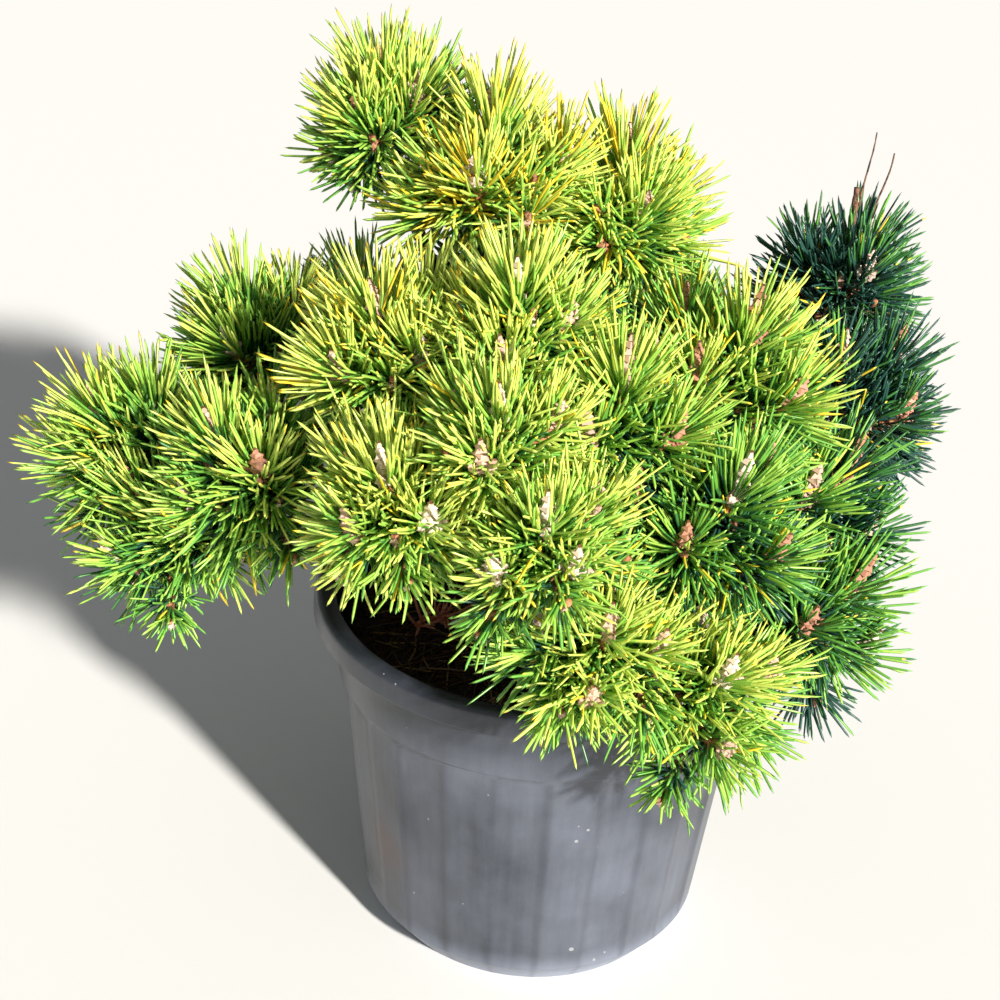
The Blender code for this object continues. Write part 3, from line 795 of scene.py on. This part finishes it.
def pine_bark(name, furrow, plate, lichen):
    """Thin scaly pine bark: dull plates with darker furrows and a paler flaking edge."""
    made, tree, shader = new_material(name, Roughness=0.88)
    place = add_node(tree, "TexCoord").outputs["Object"]
    plates = add_node(
        tree, "TexVoronoi", {"feature": "DISTANCE_TO_EDGE"},
        {"Vector": place, "Scale": 0.9 / PLATE})
    flakes = add_node(
        tree, "TexNoise", {},
        {"Vector": place, "Scale": FLAKES, "Detail": 5, "Roughness": 0.66, "Distortion": 0.6})
    edge = add_node(tree, "MapRange", {}, {"Value": plates, "From Min": 0.02, "From Max": 0.22})
    body = add_node(
        tree, "Mix", {"data_type": "RGBA"}, {0: edge, 6: linear(furrow), 7: linear(plate)})
    pale = add_node(
        tree, "MapRange", {}, {"Value": flakes, "From Min": 0.50, "From Max": 0.68, "To Max": 0.75})
    colour = add_node(tree, "Mix", {"data_type": "RGBA"}, {0: pale, 6: body, 7: linear(lichen)})
    bump = add_node(tree, "Bump", {}, {"Height": flakes, "Strength": 0.7, "Distance": 0.0008})
    link_finish(tree, shader, {"Base Color": colour, "Normal": bump})
    return made


def make_limbs(limbs):
    """The trunk and all the boughs as one piece in old bark."""
    joined = bmesh.new()
    for name, (course, radii) in limbs.items():
        is_trunk = name == "leader"
        points, thick = smooth_course(course, radii, BARK_STEP)
        sides, collar = (TRUNK_SIDES, 0.0) if is_trunk else (BOUGH_SIDES, BOUGH_COLLAR)
        mesh = mesh_of(drawn_limb(points, thick, sides, collar), "limb")
        joined.from_mesh(mesh)
        bpy.data.meshes.remove(mesh)
    bark = pine_bark("scaly pine bark, grey-brown", "#2E2019", "#6A4E3C", "#8E7763")
    piece = new_piece("trunk_and_boughs", mesh_of(joined, "trunk_and_boughs"), [bark])
    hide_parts("trunk", *["bough_" + name for name in MASSES if name != "top"])


limbs = plan_limbs()
make_limbs(limbs)


# The twigs and shoots
# Each mass hangs on one stem at its bough's tip. A twig forks from it to each shoot: one goes
# straight ahead, and the rest stand in a ring about it and turn up like a candelabra's arms.
# Finer side shoots leave the twigs below them. The wood is orange-brown, rough with old scars.

TWIG_RADIUS = 0.0026
SIDE_TWIG_PART = 0.7
STEM = 0.005
STEM_SUNK = 0.004
# Lengths as shares of the mass's reach, and how much a twig's and a shoot's vary.
FORK_SHARE = 0.12
TWIG_SHARE = 0.36
TWIG_VARIES = (0.85, 1.1)
SHOOT_SHARE = 0.30
SHOOT_VARIES = (0.9, 1.1)
SHOOT_CORE = 0.0062
SHOOT_LEANS = (math.radians(64), math.radians(50), math.radians(36))
SHOOT_PARTS = (1.0, 0.72)
# Past its twig a shoot turns back towards its mass's heading, and keeps this part of its lean.
SHOOT_TURN = 0.5
SHOOT_LIFT = 0.22
# The parts of its own way, of straight up and of its mass's heading that a shoot's end takes.
END_OWN, END_UP, END_HEADING = 0.6, 0.95, 0.1
BUD = 0.012
CELL_MARGIN = 0.0012
LIMB_MARGIN = 0.0025
POT_MARGIN = 0.003
# How far a mass's needles reach from its centre, as a share of its reach.
BOUND = 1.24
SEED = 101
# Side shoots: how many leave each twig, how far they lean out, where on the twig they stand, how
# long they are as a share of the shoot, and the room they keep to the other tips.
SIDE_SHOOTS = 4
SIDE_LEAN = math.radians(76)
SIDE_LEAN_VARIES = (0.8, 1.2)
SIDE_BASE = (0.45, 0.95)
SIDE_PART = (0.9, 1.5)
SIDE_GAP = 0.015
SIDE_MINGLE = 0.012
COURSE_STEPS = 18
TWIG_SIDES = 8
# The dead leader that stands out of the right-hand back mass with two dry whips: the foot, tip
# and radius of each.
SNAG = (
    ((0.188, 0.150, 0.370), (0.186, 0.150, 0.432), 0.0030),
    ((0.189, 0.150, 0.420), (0.193, 0.149, 0.468), 0.0007),
    ((0.197, 0.150, 0.405), (0.206, 0.150, 0.455), 0.0008),
)


def in_own_space(name, points, margin):
    """Which points lie on this mass's side of the plane between it and every other."""
    centre = np.array(MASSES[name][0])
    reach = MASSES[name][1]
    inside = np.ones(len(points), bool)
    for other, (place, other_reach, *_rest) in MASSES.items():
        if other == name:
            continue
        across = np.array(place) - centre
        distance = np.linalg.norm(across)
        wall = distance * reach / (reach + other_reach)
        inside &= (points - centre) @ (across / distance) <= wall - margin
    return inside


def within_reach(name, points, room):
    """Which points lie inside the ball that a mass of needles fills."""
    centre, reach = MASSES[name][:2]
    return np.linalg.norm(points - np.array(centre), axis=1) < reach * BOUND + room


def off_the_pot(points):
    """Which points are clear of the container and of the compost."""
    radius = np.hypot(points[:, 0], points[:, 1])
    above = (points[:, 2] > POT_HEIGHT + POT_MARGIN) | (radius > LIP_RADIUS + POT_MARGIN)
    within = (radius < MOUTH_RADIUS - 3 * POT_MARGIN) & (points[:, 2] > COMPOST_TOP + 2 * POT_MARGIN)
    return above | within


def limb_spans(limbs):
    """Every straight stretch of every limb: starts, runs and radii."""
    starts, runs, radii = [], [], []
    for course, thick in limbs.values():
        for a, b, radius in zip(course, course[1:], thick):
            starts.append(a)
            runs.append(b - a)
            radii.append(radius)
    return np.array(starts), np.array(runs), np.array(radii)


def off_the_limbs(points, spans, margin):
    """Which points keep the margin to every limb."""
    starts, runs, radii = spans
    share = np.einsum("psk,sk->ps", points[:, None] - starts, runs) / (runs ** 2).sum(1)
    nearest = starts + np.clip(share, 0, 1)[..., None] * runs
    gaps = np.linalg.norm(points[:, None] - nearest, axis=2)
    return (gaps >= radii + margin).all(1)


def leaning(way, out, lean):
    """A way turned towards another, square to it, by an angle."""
    return way * math.cos(lean) + out * math.sin(lean)


def shoot_ways(heading, count, start):
    """What a mass's shoots try: one goes straight ahead and the rest in a ring about it.

    Each gives its twig's direction, its own, and a part of the full length, from the best to
    the last resort.
    """
    across = heading.orthogonal().normalized()
    for index in range(count):
        turn = Matrix.Rotation(start + 2 * math.pi * index / (count - 1), 3, heading)
        leans = SHOOT_LEANS if index else (0,)
        out = turn @ across
        yield [
            (leaning(heading, out, lean), leaning(heading, out, lean * SHOOT_TURN), part)
            for lean in leans
            for part in SHOOT_PARTS
        ]


def has_room(name, root, tip, spans, margin):
    """True if a shoot keeps to its mass's space and clear of the limbs and the container."""
    steps = np.array([root.lerp(tip, step / 4) for step in range(5)])
    return (
        in_own_space(name, steps, margin + SHOOT_CORE).all()
        and off_the_limbs(steps[1:], spans, LIMB_MARGIN + SHOOT_CORE).all()
        and off_the_pot(steps[1:] - np.array((0, 0, SHOOT_CORE))).all()
    )


def plan_shoots(name, fork, heading, spans, chance):
    """The root and bud tip of each shoot that keeps to the mass's space."""
    reach, count = MASSES[name][1:3]
    shoots = []
    for ways in shoot_ways(heading, count, chance.uniform(0, 2 * math.pi)):
        rise = reach * TWIG_SHARE * chance.uniform(*TWIG_VARIES)
        length = reach * SHOOT_SHARE * chance.uniform(*SHOOT_VARIES) + BUD
        for way, grow, part in ways:
            root = fork + way * rise
            tip = root + (grow + SHOOT_LIFT * UP).normalized() * length * part
            if has_room(name, root, tip, spans, CELL_MARGIN):
                shoots.append((root, tip))
                break
    return shoots


def plan_side_shoots(name, fork, shoots, spans, chance):
    """Finer shoots that leave the twigs below the others' needles, by the same rule."""
    sides = []
    for root, tip in shoots:
        way = (tip - root).normalized()
        across = way.orthogonal().normalized()
        start = chance.uniform(0, 2 * math.pi)
        for index in range(SIDE_SHOOTS):
            turn = Matrix.Rotation(start + 2 * math.pi * index / SIDE_SHOOTS, 3, way)
            lean = SIDE_LEAN * chance.uniform(*SIDE_LEAN_VARIES)
            base = fork.lerp(root, chance.uniform(*SIDE_BASE))
            length = (tip - root).length * chance.uniform(*SIDE_PART)
            end = base + leaning(way, turn @ across, lean) * length
            gap = min([(end - other).length for _root, other in shoots + sides])
            if gap > SIDE_GAP and has_room(name, base.lerp(end, 0.3), end, spans, -SIDE_MINGLE):
                sides.append((base, end))
    return sides


def plan_mass(name, order, limbs, spans):
    """A mass's stem and the courses of its shoots, the main ones first."""
    heading = heading_of(name)
    chance = random.Random(SEED + order)
    course = limbs[name if name in limbs else "leader"][0]
    growth = (course[-1] - course[-2]).normalized()
    foot = course[-1] + growth * GAP
    neck = foot + growth * STEM
    fork = neck + heading * MASSES[name][1] * FORK_SHARE
    shoots = plan_shoots(name, fork, heading, spans, chance)
    sides = plan_side_shoots(name, fork, shoots, spans, chance)
    courses = []
    for index, (root, tip) in enumerate(shoots + sides):
        way = (tip - root).normalized()
        start = fork if index < len(shoots) else root
        leave = (root - fork).normalized() if index < len(shoots) else way
        end_way = (END_OWN * way + END_UP * UP + END_HEADING * heading).normalized()
        courses.append(np.array(curve_points(start, leave, tip, end_way, COURSE_STEPS)))
    sunk = course[-1] - growth * STEM_SUNK
    stem = np.array(curve_points(sunk, growth, fork, heading, COURSE_STEPS))
    return stem, courses, len(shoots)


def tube_mesh(name, courses, radii, sides, slots):
    """Many thin round things as one mesh: rings along each course, closed at both ends.

    The radii are one for each ring, or one for each corner of each ring, and the finishes one
    for each course, or one for each band between two rings.
    """
    count, rings = courses.shape[:2]
    ways = unit(np.gradient(courses, axis=1))
    side, _other = across_of(ways[:, 0])
    side = side[:, None] - (side[:, None] * ways).sum(2, keepdims=True) * ways
    side = unit(side)
    other = np.cross(ways, side)
    around = np.broadcast_to(radii.reshape(count, rings, -1), (count, rings, sides))
    points = []
    for corner in range(sides):
        angle = 2 * math.pi * corner / sides
        out = math.cos(angle) * side + math.sin(angle) * other
        points.append(courses + out * around[:, :, corner, None])
    points = np.stack(points, axis=2).reshape(-1, 3)
    corners = list(range(sides - 1, -1, -1))
    sizes = [sides]
    for ring in range(rings - 1):
        for corner in range(sides):
            a, b = ring * sides + corner, ring * sides + (corner + 1) % sides
            corners += [a, b, b + sides, a + sides]
            sizes.append(4)
    corners += range((rings - 1) * sides, rings * sides)
    sizes.append(sides)
    all_corners = (np.array(corners)[None, :] + rings * sides * np.arange(count)[:, None]).ravel()
    bands = np.broadcast_to(slots.reshape(count, -1), (count, rings - 1))
    walls = np.repeat(bands, sides, axis=1)
    face_slots = np.concatenate([bands[:, :1], walls, bands[:, -1:]], axis=1)
    return joined_mesh(name, points, all_corners, np.tile(sizes, count), face_slots.ravel())


def make_twigs(plan):
    """The stems and shoots of every mass, knobbly with the scars of shed needles."""
    chance = np.random.default_rng(SEED)
    courses, radii, slots = [], [], []
    knobs = (COURSE_STEPS, TWIG_SIDES)
    for stem, shoots, main in plan.values():
        courses.append(stem)
        width = np.linspace(BOUGH_TIP_RADIUS * 1.12, TWIG_RADIUS * 1.1, COURSE_STEPS)
        radii.append(width[:, None] * chance.uniform(0.92, 1.10, knobs))
        slots.append(0)
        for index, course in enumerate(shoots):
            courses.append(course)
            thick = TWIG_RADIUS * (1.0 if index < main else SIDE_TWIG_PART)
            radii.append(thick * chance.uniform(0.80, 1.22, knobs))
            slots.append(1)
    for foot, tip, thick in SNAG:
        courses.append(np.array(curve_points(Vector(foot), UP, Vector(tip), UP, COURSE_STEPS)))
        width = np.linspace(thick, thick * 0.6, COURSE_STEPS)
        radii.append(width[:, None] * chance.uniform(0.8, 1.2, knobs))
        slots.append(0)
    mesh = tube_mesh("twigs", np.array(courses), np.array(radii), TWIG_SIDES, np.array(slots))
    finishes = [
        pine_bark("scaly twig bark, brown", "#38241A", "#7C5640", "#A07C62"),
        pine_bark("young twig bark, orange-brown", "#6B3A24", "#BB7A4E", "#DDB08C"),
    ]
    new_piece("twigs", mesh, finishes)


spans = limb_spans(limbs)
plan = {name: plan_mass(name, order, limbs, spans) for order, name in enumerate(MASSES)}
make_twigs(plan)


# The needles
# Two to a brown sheath, up to 5 cm long and 2 mm wide, stiff, waxy, blunt and a little bent. They
# stand in a spiral round the last growth of each shoot, far out at its foot and closer about the
# bud, which is left in an open cup. One mesh for each mass, its plain finishes dealt by spray.

NEEDLE = 0.046
NEEDLE_RADIUS = 0.0010
NEEDLE_LEAN_LOW = math.radians(80)
NEEDLE_LEAN_HIGH = math.radians(27)
NEEDLE_LIFT = 0.16
PAIR_ANGLE = math.radians(6)
SPIRAL = math.radians(137.5)
PAIRS = 72
SIDE_PAIRS = 34
NEEDLED = 0.030
SIDE_NEEDLED = 0.018
# How long and how many the needles are on the ring's shoots and on side shoots, as shares.
RING_VIGOUR = (0.70, 1.0)
SIDE_VIGOUR = (0.55, 0.85)
# How far needles run into the next mass, and past the solids' own box.
MINGLE = 0.032
BOX_ROOM = 0.016
# How far the needles keep from limbs, the shares of its length at which a needle is tried for
# room, and the shares to which it may be cut.
NEEDLE_MARGIN = 0.0012
TRIED_AT = (0.4, 0.75, 1.0)
CUT_TO = (0.45, 0.6, 0.8, 1.0)
# The share of golden needles on the masses that have the most, the masses whose needles are
# short and crooked, and how crooked, how curled and how long the needles are there and elsewhere.
GILDED = {"top": 0.26, "right_mid": 0.12, "left_mid": 0.08, "top_right": 0.14}
CROOKED = ("low_left", "low_mid", "low_front", "low_right", "centre", "left_low")
CROOKED_BUILD = (0.11, 0.46, 0.88)
STRAIGHT_BUILD = (0.05, 0.26, 1.0)

# The finishes, from the sunniest to the deepest, paint the needles' light and shade into their
# green; and how much sun is painted on each mass, from 0 to 1.
NEEDLE_COLOURS = {
    "needle, lemon green": "#CADC66",
    "needle, lime green": "#9BC850",
    "needle, leaf green": "#68A440",
    "needle, deep green": "#3C763A",
    "needle, blue green": "#285044",
    "needle tip, golden": "#F0D23C",
    "needle sheath, brown": "#A87450",
}
LAST_GREEN, GOLDEN, SHEATH = 4, 5, 6
PAINTED_SUN = {
    "top": 0.98, "top_right": 0.88, "top_left": 0.74, "crown_mid": 0.80, "left_mid": 0.84,
    "centre": 0.84, "low_left": 0.86, "low_mid": 0.78, "right_heart": 0.62, "low_front": 0.72,
    "low_right": 0.76, "mid_right": 0.48, "right_mid": 0.64, "left_near": 0.70, "left_far": 0.66,
    "left_low": 0.68, "left_back": 0.68, "right_skirt": 0.36, "right_low": 0.20, "right_far": 0.05,
    "right_back": 0.06,
}
BACK_PAINTED_SUN = 0.50
# How much less sun is painted on side shoots, as painted shade, and where the painted sun's
# share on a needle changes its green.
SIDE_PAINTED_SHADE = 0.22
GREEN_STEPS = (-0.74, -0.50, -0.28, -0.08)


def run_of(course):
    """How far along a course each of its points lies."""
    return np.concatenate(([0], np.cumsum(np.linalg.norm(np.diff(course, axis=0), axis=1))))


def read_off(values, run, place):
    """What a course's values are at places along it."""
    return np.stack([np.interp(place, run, values[:, k]) for k in range(3)], axis=1)


def spray(course, pairs, needled, vigour, crook, curl, chance):
    """Feet, directions, bends, lengths and places along the shoot of one shoot's needles."""
    number = np.arange(pairs)
    share = (number + chance.uniform(0, 1, pairs)) / pairs
    run = run_of(course)
    top = run[-1] - BUD * 0.95
    low = max(top - needled, 0.15 * top)
    place = low + (top - low) * share
    feet = read_off(course, run, place)
    axis = unit(read_off(np.gradient(course, axis=0), run, place))
    side, other = across_of(axis)
    turn = number * SPIRAL + chance.normal(0, 0.25, pairs)
    radial = np.cos(turn)[:, None] * side + np.sin(turn)[:, None] * other
    lean = NEEDLE_LEAN_LOW + (NEEDLE_LEAN_HIGH - NEEDLE_LEAN_LOW) * share ** 1.1
    lean = lean * chance.uniform(0.72, 1.26, pairs)
    aim = radial * np.sin(lean)[:, None] + axis * np.cos(lean)[:, None]
    aim = unit(aim + NEEDLE_LIFT * np.array(UP))
    split = unit(np.cross(axis, aim)) * np.tan(PAIR_ANGLE * chance.uniform(0.4, 1.7, (pairs, 1)))
    tilt = chance.normal(0, 0.05, (2, pairs, 3))
    ways = unit(np.concatenate([aim + split + tilt[0], aim - split + tilt[1]]))
    curl = curl * chance.uniform(-0.2, 1.0, (2 * pairs, 1))
    pull = np.concatenate([axis, axis]) + np.array((0, 0, 0.5))
    pull -= (pull * ways).sum(1, keepdims=True) * ways
    bends = pull * curl + chance.normal(0, crook, (2 * pairs, 3))
    feet = np.concatenate([feet, feet]) + ways * TWIG_RADIUS * 0.5
    lengths = NEEDLE * vigour * chance.uniform(0.84, 1.12, 2 * pairs)
    return feet, ways, bends, lengths, np.concatenate([share, share])


def fit_needles(name, feet, ways, bends, lengths, spans, chance):
    """Shortens needles that would cross far into another mass, a limb, the pot or the box."""
    room = MINGLE * chance.uniform(0.2, 1.3, len(feet))
    low, high = np.array(cad_low) - BOX_ROOM, np.array(cad_high) + BOX_ROOM
    ragged = chance.normal(0, 0.008, len(feet))
    kept = np.zeros(len(feet))
    for part in CUT_TO:
        fits = np.ones(len(feet), bool)
        for share in TRIED_AT:
            run = (lengths * part)[:, None]
            points = feet + run * (ways * share + bends * share * share)
            fits &= in_own_space(name, points, -room)
            fits &= within_reach(name, points, ragged)
            fits &= off_the_pot(points) & off_the_limbs(points, spans, NEEDLE_MARGIN)
            fits &= ((points > low) & (points < high)).all(1)
        kept = np.where(fits, part, kept)
    return lengths * kept, kept > 0


def deal(painted_sun, gilt, share, chance):
    """The finishes of each needle's sheath, lower part, upper part and tip."""
    count = len(share)
    spread = chance.normal(0, 0.12, count) + chance.normal(0, 0.10)
    # How much sun is painted on each needle: its mass's share, more towards the top of the shoot, and
    # some at random.
    level = painted_sun + 0.20 * (share - 0.45) + spread
    upper = np.searchsorted(GREEN_STEPS, -level)
    # Golden tips come more often where more sun is painted.
    golden = chance.uniform(0, 1, count) < np.clip((level - 0.62) * 1.1, 0.01, 0.40) + gilt
    dry = chance.uniform(0, 1, count) < 0.010 + gilt * (chance.uniform(0, 1) < 0.5)
    upper = np.where(dry, GOLDEN, upper)
    # A needle's lower part is dealt a deeper green than its upper part, two steps on the shoot's
    # lower, older needles: painted shade towards the foot of the spray, on needles that are also
    # darker of their own.
    deeper = np.where(share < 0.55, 2, 1)
    lower = np.where(dry, GOLDEN, np.minimum(upper + deeper, LAST_GREEN))
    tips = np.where(golden, GOLDEN, upper)
    return np.stack([np.full(count, SHEATH), lower, upper, tips], axis=1)


def make_needles(plan):
    """Every mass's sprays, in waxy half-glossy finishes that catch a thin line of light."""
    finishes = [
        new_material(name, Base_Color=linear(colour), Roughness=0.34, Specular_IOR_Level=0.6)[0]
        for name, colour in NEEDLE_COLOURS.items()
    ]
    for order, (name, (_stem, shoots, main)) in enumerate(plan.items()):
        chance = np.random.default_rng(SEED + order)
        centre = np.array(MASSES[name][0])
        near = np.linalg.norm(spans[0] - centre, axis=1) < MASSES[name][1] + 0.13
        close = tuple(part[near] for part in spans)
        painted_sun = PAINTED_SUN.get(name, BACK_PAINTED_SUN)
        crook, curl, size = CROOKED_BUILD if name in CROOKED else STRAIGHT_BUILD
        gilt = GILDED.get(name, 0.0)
        parts = []
        for index, course in enumerate(shoots):
            is_side = index >= main
            vigour = chance.uniform(*(SIDE_VIGOUR if is_side else RING_VIGOUR)) if index else 1.0
            vigour *= size
            pairs = SIDE_PAIRS if is_side else round(PAIRS * vigour)
            needled = SIDE_NEEDLED if is_side else NEEDLED
            drawn = spray(course, pairs, needled, vigour, crook * (1.8 - vigour), curl, chance)
            feet, ways, bends, lengths, share = drawn
            lengths, kept = fit_needles(name, feet, ways, bends, lengths, close, chance)
            slots = deal(painted_sun - SIDE_PAINTED_SHADE * is_side, gilt, share, chance)
            parts.append([a[kept] for a in (feet, ways, bends, lengths, slots)])
        feet, ways, bends, lengths, slots = (np.concatenate(rows) for rows in zip(*parts))
        widths = NEEDLE_RADIUS * chance.uniform(0.85, 1.12, len(feet))
        mesh = spike_mesh("sprays_" + name, feet, ways, bends, lengths, widths, slots, chance)
        piece = new_piece("sprays_" + name, mesh, finishes)
        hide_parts("needles_" + name)


make_needles(plan)


# The buds
# Each main shoot ends in a long winter bud with two to four small ones about its foot, and each
# side shoot in a small one. They are rows of scales under pale or reddish resin, with painted
# shade in the brown step up to each next row, and the stem below the long ones is rough with dry
# orange-brown bracts, stepped with the same painted shade.

CANDLE_LENGTH = 0.026
CANDLE_RADIUS = 0.0040
CANDLE_ROWS = 9
RING_CANDLE_PART = (0.6, 0.9)
REDDISH_PART = 1.3
BUD_LENGTH = 0.015
BUD_RADIUS = 0.0034
BUD_ROWS = 4
BUD_PART = (0.5, 0.8)
BUD_LEAN = (0.35, 0.8)
BUD_SIDES = 8
STEM_LENGTH = 0.026
STEM_RADIUS = 0.0031
STEM_ROWS = 9
# How far every other scale stands out, and a row's width at its foot and at its top.
SCALE_LIFT = 0.20
SCALE_EDGE_WIDTH, SCALE_TOP_WIDTH = 1.12, 0.80
# The masses whose leading buds are drawn out and red-brown, as the photograph shows.
REDDISH = ("right_mid", "right_heart", "mid_right", "right_low", "right_far", "right_skirt")
BUD_COLOURS = {
    "bud scale, pale resin": "#DEC4B4",
    "bud scale, pinkish resin": "#D2A896",
    "bud scale, red-brown": "#BA8068",
    # The step between rows of scales and bracts: the scales' brown with painted shade in the gap.
    "bud scale step, brown with painted shade": "#704432",
    "dry bract, orange-brown": "#C4845C",
}
SCALE_STEP_SHADE, BRACT = 3, 4
# The shares of pale, pinkish and red-brown buds on those masses and on the others.
REDDISH_SHARES = (0.10, 0.35, 0.55)
PALE_SHARES = (0.42, 0.43, 0.15)


def scale_rows(rows):
    """How far along a scaly thing each ring of corners lies: two for a row, and its end."""
    return np.array([(row + edge) / rows for row in range(rows) for edge in (0, 0.86)] + [1.0])


def scaly(shape, radius, chance):
    """The radius at each corner of overlapping rows of scales, given the thing's own outline."""
    ring = np.arange(len(shape))[:, None]
    lower = ring % 2 == 0
    lifted = (np.arange(BUD_SIDES)[None, :] + ring // 2) % 2
    lift = SCALE_LIFT * np.where(lower, 1, 0.2) * (2 * lifted - 1)
    raised = np.where(lower, SCALE_EDGE_WIDTH, SCALE_TOP_WIDTH) * (1 + lift)
    return radius * shape[:, None] * raised * chance.uniform(0.93, 1.07, raised.shape)


def scaly_bud(base, way, length, radius, rows, chance):
    """A pointed oval in rows of scales: its course and the radius at each corner."""
    shares = scale_rows(rows)
    bulge = 0.82 + 0.18 * np.sin(np.pi * np.minimum(shares * 1.3, 1))
    shape = np.maximum(bulge * (1 - shares ** 5), 0.22)
    return base + way * shares[:, None] * length, scaly(shape, radius, chance)


def scaly_stem(course, chance):
    """The shoot's last growth under its bud, rough with rows of dry bracts."""
    run = run_of(course)
    shares = scale_rows(STEM_ROWS)
    place = run[-1] - BUD * 0.8 - STEM_LENGTH * (1 - shares)
    return read_off(course, run, place), scaly(1 + 0.12 * shares, STEM_RADIUS, chance)


def bud_slots(kind, rows):
    """A scale's face, then the brown step up to the next row, with painted shade in its gap, and so
    on up the bud.
    """
    return np.array([kind, SCALE_STEP_SHADE] * rows)


def make_buds(plan):
    """The long buds, the small ones and the bracts, in dull resinous finishes."""
    chance = np.random.default_rng(SEED + 500)
    candles, buds, stems = [], [], []
    for name, (_stem, shoots, main) in plan.items():
        reddish = name in REDDISH
        for index, course in enumerate(shoots):
            way = unit(course[-1] - course[-2])
            base = course[-1] - way * BUD
            kind = chance.choice(3, p=REDDISH_SHARES if reddish else PALE_SHARES)
            if index < main:
                length = CANDLE_LENGTH * chance.uniform(*RING_CANDLE_PART) if index else CANDLE_LENGTH
                length *= REDDISH_PART if reddish else 1.0
                radius = CANDLE_RADIUS * chance.uniform(0.9, 1.15)
                bud = scaly_bud(base, way, length, radius, CANDLE_ROWS, chance)
                candles.append((*bud, bud_slots(kind, CANDLE_ROWS)))
                stems.append((*scaly_stem(course, chance), bud_slots(BRACT, STEM_ROWS)))
            side, other = (v[0] for v in across_of(way[None]))
            start = chance.uniform(0, 2 * math.pi)
            small = chance.integers(2, 5) if index < main else 1
            for number in range(small):
                turn = start + 2 * math.pi * number / small
                out = (math.cos(turn) * side + math.sin(turn) * other) * (index < main)
                aim = unit(way + out * chance.uniform(*BUD_LEAN))
                size = chance.uniform(*BUD_PART)
                length, radius = BUD_LENGTH * size, BUD_RADIUS * size
                bud = scaly_bud(base + out * radius, aim, length, radius, BUD_ROWS, chance)
                buds.append((*bud, bud_slots(kind, BUD_ROWS)))
    finishes = [
        new_material(name, Base_Color=linear(colour), Roughness=0.5)[0]
        for name, colour in BUD_COLOURS.items()
    ]
    for name, made in (("leading_buds", candles), ("small_buds", buds), ("bracts", stems)):
        courses, radii, slots = (np.array(rows) for rows in zip(*made))
        mesh = tube_mesh(name, courses, radii, BUD_SIDES, slots)
        new_piece(name, mesh, finishes, 30)


make_buds(plan)


# The studio
# A plain pale floor, one strong warm light like the sun's, low on the right in front, with a soft
# edge to its shadows, and a pale even sky. The camera looks down at the plant from in front.

CAMERA_PLACE = (-0.072, -0.957, 0.793)
CAMERA_RIGHT = (0.99860, -0.01472, 0.05078)
CAMERA_UP = (-0.03782, 0.47223, 0.88066)
CAMERA_AHEAD = (0.03694, 0.88135, -0.47101)
CAMERA_LENS = 66.6
FLOOR_HALF = 12
KEY_WAY = (-0.48, 0.74, -0.46)
KEY_STRENGTH = 7.8
KEY_COLOUR = (1.0, 0.96, 0.90)
KEY_SPREAD = math.radians(4)
SKY_STRENGTH = 0.26


def make_floor():
    bm = bmesh.new()
    bmesh.ops.create_grid(bm, x_segments=1, y_segments=1, size=FLOOR_HALF)
    mesh = mesh_of(bm, "floor")
    finish, _tree, _shader = new_material("pale floor", Base_Color=linear("#DEDEDC"), Roughness=0.9)
    mesh.materials.append(finish)
    floor = bpy.data.objects.new("floor", mesh)
    bpy.context.scene.collection.objects.link(floor)


def make_key():
    lamp = bpy.data.lights.new("key", "SUN")
    lamp.energy = KEY_STRENGTH
    lamp.angle = KEY_SPREAD
    lamp.color = KEY_COLOUR
    made = bpy.data.objects.new("key", lamp)
    made.matrix_world = Vector(KEY_WAY).to_track_quat("-Z", "Y").to_matrix().to_4x4()
    bpy.context.scene.collection.objects.link(made)


def make_camera():
    lens = bpy.data.cameras.new("camera")
    lens.lens = CAMERA_LENS
    lens.sensor_width = 36
    camera = bpy.data.objects.new("camera", lens)
    turn = Matrix((CAMERA_RIGHT, CAMERA_UP, [-c for c in CAMERA_AHEAD])).transposed().to_4x4()
    camera.matrix_world = Matrix.Translation(CAMERA_PLACE) @ turn
    bpy.context.scene.collection.objects.link(camera)
    bpy.context.scene.camera = camera


make_floor()
make_key()
make_camera()

world = bpy.data.worlds.new("studio")
world.use_nodes = True
world.node_tree.nodes["Background"].inputs["Color"].default_value = linear("#F4F7FA")
world.node_tree.nodes["Background"].inputs["Strength"].default_value = SKY_STRENGTH
bpy.context.scene.world = world
bpy.context.scene.view_settings.view_transform = "Standard"
